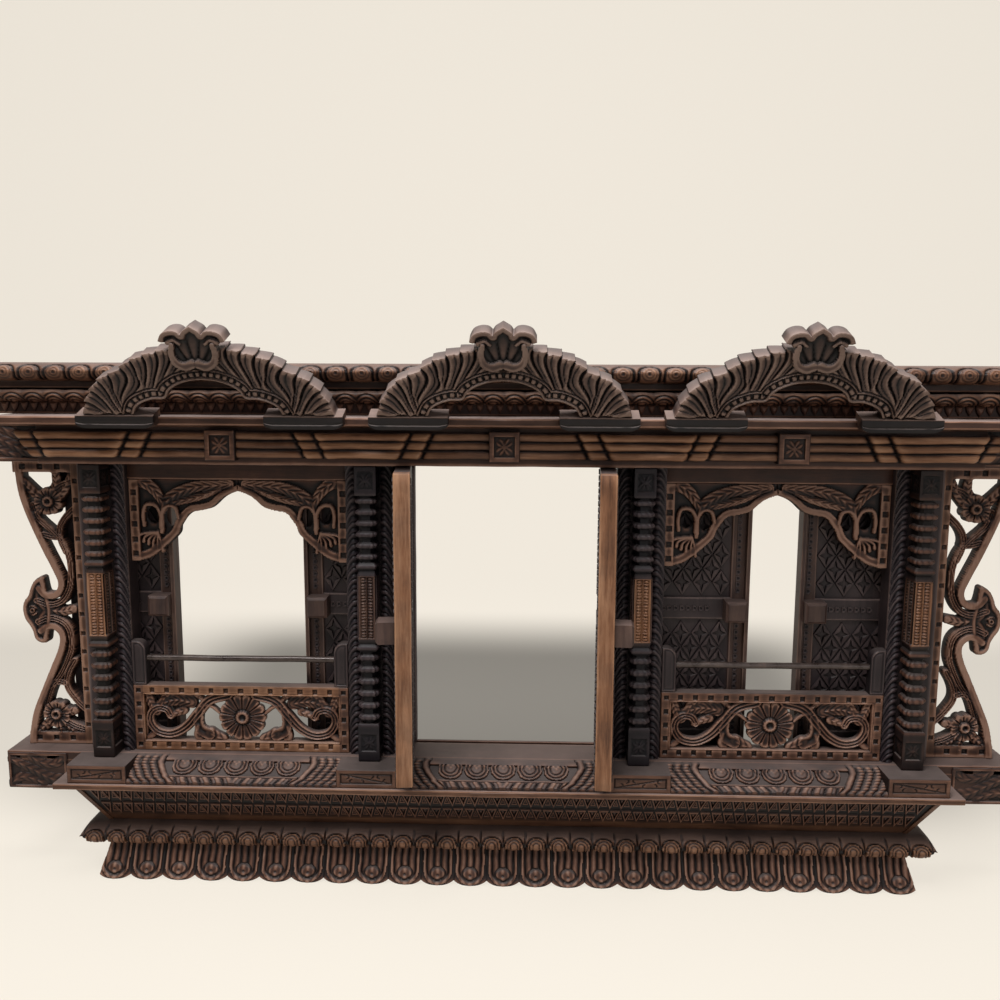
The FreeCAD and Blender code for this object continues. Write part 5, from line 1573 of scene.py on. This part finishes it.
WING_LEAVES = (
    ((76, 345), (63, 331), (54, 324)), ((34, 356), (33, 343), (38, 332)), ((14, 352), (20, 340), (32, 326)),
    ((66, 300), (58, 308), (52, 314)), ((77, 14), (66, 24), (57, 33)), ((28, 18), (36, 22), (44, 33)),
    ((46, 8), (45, 18), (48, 28)), ((27, 44), (36, 42), (44, 41)), ((20, 180), (34, 177), (48, 178)),
)
VOLUTE = ((60, 219), (67, 214), (72, 205), (75, 196), (81, 188), (83, 179), (81, 168), (76, 160), (72, 152),
          (70, 143), (66, 139), (60, 139), (58, 148), (54, 160), (52, 178), (54, 192), (58, 206))
FLEUR = (((60, 214), (66, 204), (66, 190), (58, 180)), ((60, 143), (65, 152), (65, 166), (58, 176)))


def wing_board(tall):
    board = Board((0, WING_WIDE), (0, tall), 1.1)
    board.outline(smooth_path(VOLUTE + VOLUTE[:1])[:-1])
    for path in WING_STEMS:
        board.band(path, 9, WING_RISE * 0.75, grooved)
    for path in WING_LEAVES:
        board.band(path, 14, WING_RISE * 0.8, fluted(4), (0.8, 1.0))
    for path in WING_INNER:
        board.band(path, 9.5, WING_RISE * 0.85, grooved, (0.8, 1.0))
    board.height = np.where(board.inside > 0, np.maximum(board.height, WING_RISE * 0.35), board.height)
    for path in FLEUR:
        board.band(path, 8, WING_RISE * 0.7, rounded, (0.8, 1.0))
    board.band(VOLUTE + VOLUTE[:1], 7.5, WING_RISE * 0.9, rounded)
    board.flower((73, 178), 7, 1, WING_RISE * 0.9, 0.5)
    for path in WING_RIMS:
        board.band(path, 10, WING_RISE, smooth, (1.0, 0.9))
    for centre in ((44.5, 319.5), (50.5, 39.5)):
        board.flower(centre, 18, 9, WING_RISE * 1.05, 0.4)
    board.plate((0, STILE), (0, tall), WING_RISE * 0.8, worn=0.22)
    for v in ((0, WING_RAIL), (tall - WING_RAIL, tall)):
        board.plate((0, WING_WIDE), v, WING_RISE * 0.75, worn=0.05)
    board.rosettes([(STILE * 0.62, v) for v in np.linspace(26, tall - 26, 14)], 2.8, 2.0)
    board.rosettes([(u, v) for u in (30, 52, 74) for v in (WING_RAIL / 2, tall - WING_RAIL / 2)], 3.2, 2.0)
    return board


print("wing curves:", len(WING_RIMS + WING_INNER + WING_STEMS + WING_LEAVES + FLEUR))


# %% Both wings
for name, side in (("left", -1), ("right", 1)):
    span = Span(f"wing_{name}")
    face = span.front - WING_RISE
    place = facing(span.left if side > 0 else span.right, span.foot, face, side)
    mesh = wing_board(span.height).mesh(f"pierced_wing_{name}", place, face - span.back)
    carved(mesh, f"wing_{name}", carved_upright)

# %% [markdown]
# ## Crest arches
# Three cusped arches lean out over the cornice on boat-shaped feet, each with a three-lobed finial in
# front. A row of square beads between two fillets follows the opening, and swept blades run from it to a
# saw-toothed outer edge. Blades could be copied along the arch, but they change length. Both edges are
# drawn once instead, and the carving is a function of the share of the way from one edge to the other.

# %% The leaning plane
LEAN = math.radians(22)
arch = Span("arch_centre")
ARCH_RISE, ARCH_THICK = 84.0, 24.0
ARCH_FOOT = (arch.front - ARCH_RISE * math.sin(LEAN), arch.foot)


def leaning(middle, forward=0.0):
    """Places a board on the leaning plane: v runs up the slope from the arch's foot."""
    def place(u, v, height):
        out = height + forward
        reach = ARCH_FOOT[0] + v * math.sin(LEAN) + out * math.cos(LEAN)
        return middle + u, reach, ARCH_FOOT[1] + v * math.cos(LEAN) - out * math.sin(LEAN)
    return place


print("the arches' foot, reach and height:", [round(value, 1) for value in ARCH_FOOT])


# %% Arches
OUTER = ((144, 0), (141, 14), (130, 33), (115, 47), (97, 55), (82, 66), (62, 74), (34, 81), (0, 84))
OPENING = ((86, 0), (81, 10), (72, 16), (60, 20), (46, 21), (40, 30), (30, 37), (16, 42), (0, 44))
BLADES, FAN_SHIFT, ARCH_BEADS = 11, 2.9, 30
BEAD_BAND = (3.0, 9.8, 12.4)


def both_sides(points):
    """A line mirrored to the left, from the right foot over the top to the left foot."""
    path = smooth_path(points)
    return np.vstack([path, (path * (-1, 1))[::-1][1:]])


def arch_board():
    """Swept blades that end in a saw-toothed edge, over a band of square beads along the cusped opening."""
    board = Board((-145, 145), (0, 85), 1.1)
    inner, outer = both_sides(OPENING), both_sides(OUTER)
    board.outline(outer)
    outer_inside = board.inside
    board.inside = np.full(board.u.shape, -500.0)
    board.outline(inner)
    board.inside = np.minimum(outer_inside, -board.inside)
    from_inner, along_inner, _ = board.along(inner)
    from_outer, along_outer, _ = board.along(outer)
    share = from_inner / np.maximum(from_inner + from_outer, 0.01)
    way = abs(along_outer - 0.5) * 2
    phase = BLADES * way - FAN_SHIFT * (1 - share) ** 1.6 + 0.5 * np.sin(math.pi * share)
    tooth = np.mod(phase, 1)
    cut = ridge(np.minimum(tooth, 1 - tooth), 0.085) + 0.35 * ridge(tooth - 0.45, 0.05)
    blade = 2.6 + 1.4 * tooth - 4.2 * cut * np.clip((from_inner - 12) / 6, 0.35, 1)
    board.inside = np.minimum(board.inside, outer_inside - 3.4 * (1 - tooth))
    bead = 2.8 * unit((0.5 - abs(np.mod(ARCH_BEADS * along_inner, 1) - 0.5)) * 9 - 1)
    first, second, third = BEAD_BAND
    beaded = np.where(from_inner < first, 3.4, bead)
    height = np.where(from_inner < second, beaded, np.where(from_inner < third, 3.6, blade))
    for edge in (first, second, third + 0.4):
        height -= 2.6 * ridge(from_inner - edge, 0.8)
    board.height = height - 4.4
    return board


for name, middle in bays.items():
    mesh = arch_board().mesh(f"carved_arch_{name}", leaning(middle), ARCH_THICK, ease=0.8)
    carved(mesh, f"arch_{name}", crest_wood)

# %% Finials
FINIAL_CROWN = np.vstack([smooth_path(((0, 50), (4, 47.5), (8.5, 44.5), (11, 40.5)), 4),
                          smooth_path(((11, 40.5), (16, 44.5), (24, 45), (32, 41.5), (36.5, 33.5)), 5)[1:]])
FINIAL_VASE = ((36.5, 33.5), (31, 31.5), (25.5, 28), (26.5, 15), (20, 4), (8, 0.5), (0, 1.5))
FINIAL_FOOT, FINIAL_THICK, CROWN_BACK, CROWN_FOOT = 59.0, 10.0, 14.0, 28.0


def finial_board():
    """Three lobes that overhang a fluted vase between two scrolls."""
    board = Board((-38, 38), (0, 51), 0.9)
    right = np.vstack([FINIAL_CROWN, smooth_path(FINIAL_VASE)[1:]])
    board.outline(np.vstack([right, (right * (-1, 1))[::-1][1:-1]]))
    crown = both_sides(FINIAL_CROWN[::-1])
    under, _, _ = board.along(crown)
    u, v = board.u, board.v
    turn = np.arctan2(u, v + 6)
    board.height = -6.5 + 3.2 * abs(np.cos(9 * turn)) ** 0.5
    lip = unit((under - 4.0) / 5.0)
    board.height = np.where(v > CROWN_FOOT, np.maximum(board.height, -0.2 - 6.5 * lip), board.height)
    for mirror in (False, True):
        board.band(((22, 29), (24, 20), (21, 9), (12, 4.5), (4, 7)), 10, 0.8, rounded, (0.6, 1.0), mirror)
        board.band(((27, 31), (20, 34), (14, 30)), 6, -1.5, hollow, (0.8, 0.6), mirror)
    return board


def on_crest(middle):
    """The finial's place: its crown reaches back over the arch."""
    stand = leaning(middle, FINIAL_THICK)

    def place(u, v, height):
        back = (height <= -FINIAL_THICK) & (v > CROWN_FOOT)
        return stand(u, v + FINIAL_FOOT, np.where(back, height - CROWN_BACK, height))
    return place


finials = Clay()
for middle in bays.values():
    finial_board().solid(finials, on_crest(middle), FINIAL_THICK, ease=0.8)
carved(finials.mesh("crest_finials"), "arch_finials", crest_wood)

# %% Boat-shaped feet
feet_span = Span("arch_feet")
FOOT_STEP, FOOT_SEAT, FOOT_LIP = 116.0, 13.0, 14.2
FOOT_SECTION = np.array((
    (131.2, feet_span.foot), (131.5, feet_span.foot + 4), (131.5, feet_span.foot + FOOT_LIP),
    (feet_span.back, feet_span.top), (feet_span.back, feet_span.foot + FOOT_SEAT),
    (FOOT_STEP, feet_span.foot + FOOT_SEAT), (FOOT_STEP, feet_span.foot)))
FOOT_SPAN = (63.0, 153.0)


def boat(clay, middle, side):
    """One foot: a section carried along x and drawn up at both ends, with a line along its front."""
    edges = zip(FOOT_SECTION, np.roll(FOOT_SECTION, -1, 0))
    loop = np.vstack([np.linspace(a, b, 9, endpoint=False) for a, b in edges])
    share = np.linspace(0, 1, 60)
    x = FOOT_SPAN[0] + (FOOT_SPAN[1] - FOOT_SPAN[0]) * share
    up = loop[:, 1] - feet_span.foot
    on_front = (loop[:, 0] > 131) & (up < FOOT_LIP - 0.1)
    height = np.where(on_front, -1.3 * ridge(up - 5.5, 1.2), 0.0) + wander(x[:, None] * 4, 77, 0.5)
    ends = np.sqrt(unit(np.minimum(share, 1 - share) * 9))[:, None]
    rings = np.zeros((len(x), len(loop), 3))
    rings[..., 0] = middle + side * x[:, None]
    rings[..., 1] = loop[:, 0] + np.where(on_front, np.minimum(height, 0), 0.0)
    rings[..., 2] = loop[:, 1] + (1 - ends) * np.where(up < 9, 0.6 * (9 - up), 0.0)
    top = np.where(up > FOOT_LIP - 0.5, 0.25, 0.0)
    clay.tube(rings, np.where(on_front, -0.45, 0.3), np.broadcast_to(top, rings.shape[:2]))


feet = Clay()
for middle in bays.values():
    for side in (-1, 1):
        boat(feet, middle, side)
carved(feet.mesh("boat_feet"), "arch_feet", crest_wood)

# %% [markdown]
# ## The leaves
# A leaf is a frame of two stiles and three rails, with two lattice panels and a bevelled knob. The centre
# bay's pair turns on pegs and stands wide open. The side bays' pairs slide behind the jambs, with tongues
# in grooves, and are pushed partly apart. A leaf could be modelled in place, but both kinds are built
# lying along x and the whole mesh is then stood up, so that the objects stay at the origin. The lattice
# is two fields of stars from the rows tree, one in the gaps of the other.

# %% Two kinds of leaf
LEAF_FOOT, LEAF_TALL = 26.5, 369.0
LEAF_STILE, RAIL_LAP, RAIL_BACK, BOARD_LAP = 22.0, 4.0, 0.3, 3
LEAF_RAILS = ((0.0, 24.0), (170.5, 198.5), (345.0, 369.0))
STARS, STAR_TALL = 4, 36.0
BEAD_PITCH, BEAD_INSET, BEAD_RUNS, RAIL_BEADS = 8.0, 13.0, ((6, 166), (204, 364)), 9
KNOB_SIDE, KNOB_OUT, KNOB_BEVEL, KNOB_INSET = 26.0, 22.0, 3.0, 18.0
PEG_ROUND, PEG_LENGTH = 6.0, 12.0
TONGUE_HALF, TONGUE_LENGTH, TONGUE_LAP = 3.0, 8.8, 2.0
STRIP_WIDE, STRIP_FACE = 5.0, 15.0


class Leaf:
    """A kind of leaf, lying along x with its free edge at the right."""

    def __init__(self, left, right, half, panel, face, round_edge=0.0):
        self.left, self.right, self.round_edge = left, right, round_edge
        self.half, self.panel, self.face = half, panel, face
        self.middle = (left + right) / 2
        self.star_wide = (right - left - 2 * LEAF_STILE) / STARS

    def timbers(self, free_edge, ends, side):
        """Two stiles and three rails, with the ends that hold the leaf in sill and lintel."""
        clay = Clay()
        held = (self.left + self.round_edge, self.left + LEAF_STILE)
        free = (self.right - LEAF_STILE, self.right)
        reach = (-self.half, self.half)
        for x, worn in ((held, 0.0), (free, free_edge)):
            timber(clay, x, reach, (0, LEAF_TALL), "z", ease=1.2, uneven=0.2, worn=worn, seed=91)
        x = (self.left + LEAF_STILE - RAIL_LAP, self.right - LEAF_STILE + RAIL_LAP)
        reach = (-self.half + RAIL_BACK, self.half - RAIL_BACK)
        for z in LEAF_RAILS:
            timber(clay, x, reach, z, ease=1.0, uneven=0.2, seed=92)
        ends(self, clay, side)
        return clay.mesh("timbers")

    def boards(self):
        """The thin boards behind the lattices."""
        clay = Clay()
        x = (self.left + LEAF_STILE - BOARD_LAP, self.right - LEAF_STILE + BOARD_LAP)
        for (_, foot), (top, _) in zip(LEAF_RAILS, LEAF_RAILS[1:]):
            z = (foot - BOARD_LAP, top + BOARD_LAP)
            timber(clay, x, (-self.panel, self.panel), z, "z", ease=0.4, uneven=0.1, seed=93)
        return clay.mesh("boards")

    def knob(self, side):
        """A square block with bevelled edges on the leaf's outer face."""
        half, middle = KNOB_SIDE / 2, self.right - KNOB_INSET
        end = self.face + KNOB_OUT
        rings = []
        for size, out in ((half, self.half - 1), (half, end - KNOB_BEVEL), (half - KNOB_BEVEL, end)):
            u, v = size * np.array(((-1, 1, 1, -1), (-1, -1, 1, 1)))
            rings.append(np.column_stack([middle + u, np.full(4, -side * out), LEAF_TALL / 2 + v]))
        return small_carving("knob", rings, (0.0, 0.5, 0.1), worn=0.15)


def pegs(leaf, clay, side):
    """Round pegs on the pivot axis, and the leaf's rounded edge between them."""
    turns = np.linspace(0, 2 * math.pi, 28, endpoint=False)
    circle = np.stack([np.cos(turns), np.sin(turns)], -1)
    lengths = ((PEG_ROUND, 0.75 - PEG_LENGTH, 3.0), (leaf.half, 0.0, LEAF_TALL),
               (PEG_ROUND, LEAF_TALL - 3, LEAF_TALL - 0.75 + PEG_LENGTH))
    for size, low, high in lengths:
        clay.tube(np.array([np.column_stack([size * circle, np.full(28, z)]) for z in (low, high)]))


def tongues(leaf, clay, side):
    """Tongues that run in the grooves of sill and lintel, and the proud strip along the free edge."""
    reach = (-leaf.half, STRIP_FACE) if side < 0 else (-STRIP_FACE, leaf.half)
    strip = (leaf.right - STRIP_WIDE, leaf.right)
    timber(clay, strip, reach, (0, LEAF_TALL), "z", ease=0.8, uneven=0.1, worn=0.2, seed=95)
    along = (leaf.left + TONGUE_LAP, leaf.right)
    for z in ((-TONGUE_LENGTH, TONGUE_LAP), (LEAF_TALL - TONGUE_LAP, LEAF_TALL + TONGUE_LENGTH)):
        timber(clay, along, (-TONGUE_HALF, TONGUE_HALF), z, ease=0.4, uneven=0.0, seed=94)


hung = Leaf(-10.0, 125.0, half=9.7, panel=3.0, face=10.0, round_edge=10.0)
sliding = Leaf(0.0, 141.5, half=5.6, panel=1.0, face=7.0)
print("star widths:", hung.star_wide, sliding.star_wide)


# %% Stars and beads
def star(wide):
    """A diamond of four pads round a dark four-pointed pit."""
    def points(notch):
        return np.array(((1, 0), (notch, notch), (0, 1), (-notch, notch),
                         (-1, 0), (-notch, -notch), (0, -1), (notch, -notch)))

    diamond, pit = points(0.5), points(0.26)
    layers = ((diamond * 0.97, -0.5), (diamond * 0.86, 2.6), (pit * 0.78, 3.0), (pit * 0.62, 1.9),
              (pit * 0.5, -0.4))
    rings = []
    for spots, reach in layers:
        u, v = (spots * (wide / 2, STAR_TALL / 2)).T
        rings.append(np.column_stack([u, np.full(8, reach), v]))
    return small_carving("star", rings, (-1, 0.5, 0.4, -0.6, -1))


def bead():
    """A small scallop for the ladder rows along the stiles and the middle rail."""
    spots = np.array(((-1, -1), (0.3, -1), (1, 0), (0.3, 1), (-1, 1)))
    rings = []
    for scale, reach in ((1.0, -0.6), (0.85, 1.3), (0.5, 1.0), (0.3, 0.2)):
        spread = spots * scale * (3.4, BEAD_PITCH * 0.45)
        rings.append(np.column_stack([spread[:, 0], np.full(5, reach), spread[:, 1]]))
    return small_carving("bead", rings, (-0.8, 0.5, 0.3, -0.8), sharp_angle=25)


print("stars on a panel:", STARS**2 + (STARS - 1) ** 2)


# %% The leaf's ornament, on both faces
def ornament_rows(leaf):
    """Meshes of the lattices and bead rows on one face, in the leaf's own place."""
    star_mesh, bead_mesh = star(leaf.star_wide), bead()
    step = (leaf.star_wide, 0, 0)
    climb = (0, 0, STAR_TALL)
    rows = []
    for (_, foot), (top, _) in zip(LEAF_RAILS, LEAF_RAILS[1:]):
        for title, count in (("stars", STARS), ("stars between", STARS - 1)):
            off = (count - 1) / 2
            start = (leaf.middle - off * leaf.star_wide, leaf.panel, (foot + top) / 2 - off * STAR_TALL)
            rows.append(carvings(title, star_mesh, leaf_finish, count, start, step, count, climb))
    for x in (leaf.left + BEAD_INSET, leaf.right - BEAD_INSET):
        for foot, top in BEAD_RUNS:
            count = int((top - foot) / BEAD_PITCH)
            start = (x, leaf.half, foot + BEAD_PITCH / 2)
            rows.append(carvings("beads", bead_mesh, leaf_finish, count, start, (0, 0, BEAD_PITCH)))
    start = (leaf.left + LEAF_STILE + 5, leaf.half, LEAF_TALL / 2)
    rows.append(carvings("rail beads", bead_mesh, leaf_finish, RAIL_BEADS, start, (BEAD_PITCH, 0, 0)))
    return rows


def joined(name, meshes, turns):
    """One mesh of several, each repeated for every turn."""
    whole = bmesh.new()
    for turn in turns:
        for mesh in meshes:
            copy = mesh.copy()
            copy.transform(turn)
            whole.from_mesh(copy)
    result = bpy.data.meshes.new(name)
    whole.to_mesh(result)
    whole.free()
    return result


def ornament(leaf):
    about_middle = Matrix.Translation((leaf.middle * MM, 0, 0))
    half_turn = about_middle @ Matrix.Rotation(math.pi, 4, "Z") @ about_middle.inverted()
    return joined("ornament", ornament_rows(leaf), (Matrix.Identity(4), half_turn))


ornaments = {leaf: ornament(leaf) for leaf in (hung, sliding)}
print("ornament faces:", [len(mesh.polygons) for mesh in ornaments.values()])

# %% Six leaves where they stand
for joint in frame["joints"]:
    name = joint["name"].rsplit("_", 1)[0]
    body = f"{name}_leaf"
    side = -1 if name.endswith("_left") else 1
    turned = 0.0 if side < 0 else math.pi
    if joint["type"] == "hinge":
        leaf, ends, free_edge = hung, pegs, 1.0
        turned += side * math.radians(-joint["range_deg"][0])
        start, reach = joint["pos_m"][0] / MM, -joint["pos_m"][1] / MM
    else:
        leaf, ends, free_edge = sliding, tongues, 0.18
        span = Span(f"{body}_frame")
        start = span.left if side < 0 else span.right
        reach = span.back + sliding.face
    stand = Matrix.Translation((start * MM, -reach * MM, LEAF_FOOT * MM)) @ Matrix.Rotation(turned, 4, "Z")
    pieces = (
        ("timbers", leaf.timbers(free_edge, ends, side), "frame"),
        ("boards", leaf.boards(), "panels"),
        ("lattice", ornaments[leaf].copy(), "panels"),
        ("grip", leaf.knob(side), "knob"),
    )
    for title, mesh, node in pieces:
        mesh.transform(stand)
        mesh.name = f"{name}_{title}"
        show(mesh, leaf_finish, body, "leaf_wood", f"{body}_{node}")

# %% [markdown]
# ## Studio
# The window stands on a pale floor that bends up into a backdrop, so no horizon shows. A broad soft lamp
# from the upper left in front gives the shapes, a fill from the right opens the shadows and a lamp above
# greys the top edges. The paper is darker behind the window, where the photo shows shade. The camera is
# the one that was fitted to the photo's repeating bays.

# %% Floor and backdrop
FLOOR = cad_low.z
SWEEP = 1.2
CREAM, SHADE = (1.0, 0.93, 0.82, 1), (0.11, 0.105, 0.095, 1)
BACKDROP_GLOW = 0.78
profile = [(-4.0, FLOOR), (1.6, FLOOR)]
for turn in np.linspace(0, math.pi / 2, 16)[1:]:
    profile.append((1.6 + SWEEP * math.sin(turn), FLOOR + SWEEP * (1 - math.cos(turn))))
profile.append((1.6 + SWEEP, 5.0))
corners, faces = [], []
for y, z in profile:
    corners += [(-7.0, y, z), (7.0, y, z)]
for index in range(len(profile) - 1):
    faces.append((2 * index, 2 * index + 1, 2 * index + 3, 2 * index + 2))
sweep_mesh = bpy.data.meshes.new("sweep")
sweep_mesh.from_pydata(corners, [], faces)
sweep_mesh.polygons.foreach_set("use_smooth", [True] * len(faces))
floor = new_object("sweep", sweep_mesh)
print("backdrop strips:", len(faces))

# %% Paper that shows cream to the camera
paper, paper_shader, wire = new_finish("paper")
wire.plug(paper_shader, {"Base Color": (0.5, 0.46, 0.40, 1), "Roughness": 0.9})
spot = wire.node("ShaderNodeTexCoord", output="Object")
along, deep = (wire.node("ShaderNodeSeparateXYZ", {}, {"Vector": spot}, axis) for axis in ("X", "Y"))


def step(value, start, end):
    """A smooth rise from 0 at start to 1 at end."""
    ends = {"Value": value, "From Min": start, "From Max": end}
    return wire.node("ShaderNodeMapRange", {"interpolation_type": "SMOOTHSTEP"}, ends)


sides = step(wire.math("ABSOLUTE", along, 0.0), 0.5, 0.85)
behind = step(deep, 0.0, 0.3) * (1 - step(deep, 0.85, 1.3)) * (1 - sides * 0.7)
lit = wire.node("ShaderNodeRGB")
lit.socket.default_value = CREAM
cream = lit.mixed(SHADE, behind * 0.95)
glow = wire.node("ShaderNodeEmission", {}, {"Color": cream, "Strength": 1.0})
camera_ray, glossy_ray, clear_ray = (wire.node("ShaderNodeLightPath", output=f"Is {kind} Ray")
                                     for kind in ("Camera", "Glossy", "Transmission"))
share = (camera_ray + glossy_ray + clear_ray).clamped() * BACKDROP_GLOW
surface = Wire(paper.node_tree, paper_shader.outputs[0])
mixed = wire.node("ShaderNodeMixShader", {}, {"Fac": share, 1: surface, 2: glow})
paper.node_tree.links.new(mixed.socket, paper.node_tree.nodes["Material Output"].inputs["Surface"])
sweep_mesh.materials.append(paper)
print("floor at", round(FLOOR, 3))

# %% Lamps and sky
def lamp(name, place, target, size, power):
    """A soft round lamp that faces its target."""
    light = bpy.data.lights.new(name, "AREA")
    light.shape = "DISK"
    light.size = size
    light.energy = power
    made = new_object(name, light)
    way = Vector(target) - Vector(place)
    made.matrix_world = Matrix.Translation(place) @ way.to_track_quat("-Z", "Y").to_matrix().to_4x4()


lamp("key", (-0.6, -1.25, 2.6), (0, 0, 0.15), 1.3, 70)
lamp("fill", (1.2, -2.6, 1.2), (0, 0, 0.2), 2.0, 14)
lamp("top", (0.1, -0.25, 2.5), (0, 0, 0.3), 1.4, 60)
world = bpy.data.worlds.new("room")
bpy.context.scene.world = world
world.use_nodes = True
world.node_tree.nodes["Background"].inputs["Color"].default_value = (1.0, 0.97, 0.95, 1)
world.node_tree.nodes["Background"].inputs["Strength"].default_value = 0.1
bpy.context.scene.view_settings.view_transform = "Standard"

# %% Camera
YAW, PITCH, ROLL = (math.radians(angle) for angle in (-1.672, 7.907, -0.248))
ahead = Vector((math.sin(YAW) * math.cos(PITCH), math.cos(YAW) * math.cos(PITCH), -math.sin(PITCH)))
level = Vector((math.cos(YAW), -math.sin(YAW), 0))
down = ahead.cross(level)
across = level * math.cos(ROLL) + down * math.sin(ROLL)
up = level * math.sin(ROLL) - down * math.cos(ROLL)
lens = bpy.data.cameras.new("camera")
lens.lens, lens.sensor_width = 33.48, 36
camera = new_object("camera", lens)
turn = Matrix((across, up, -ahead)).transposed().to_4x4()
camera.matrix_world = Matrix.Translation((0.02675, -1.17665, 0.50974)) @ turn
bpy.context.scene.camera = camera
print("camera at", [round(value, 3) for value in camera.matrix_world.translation])
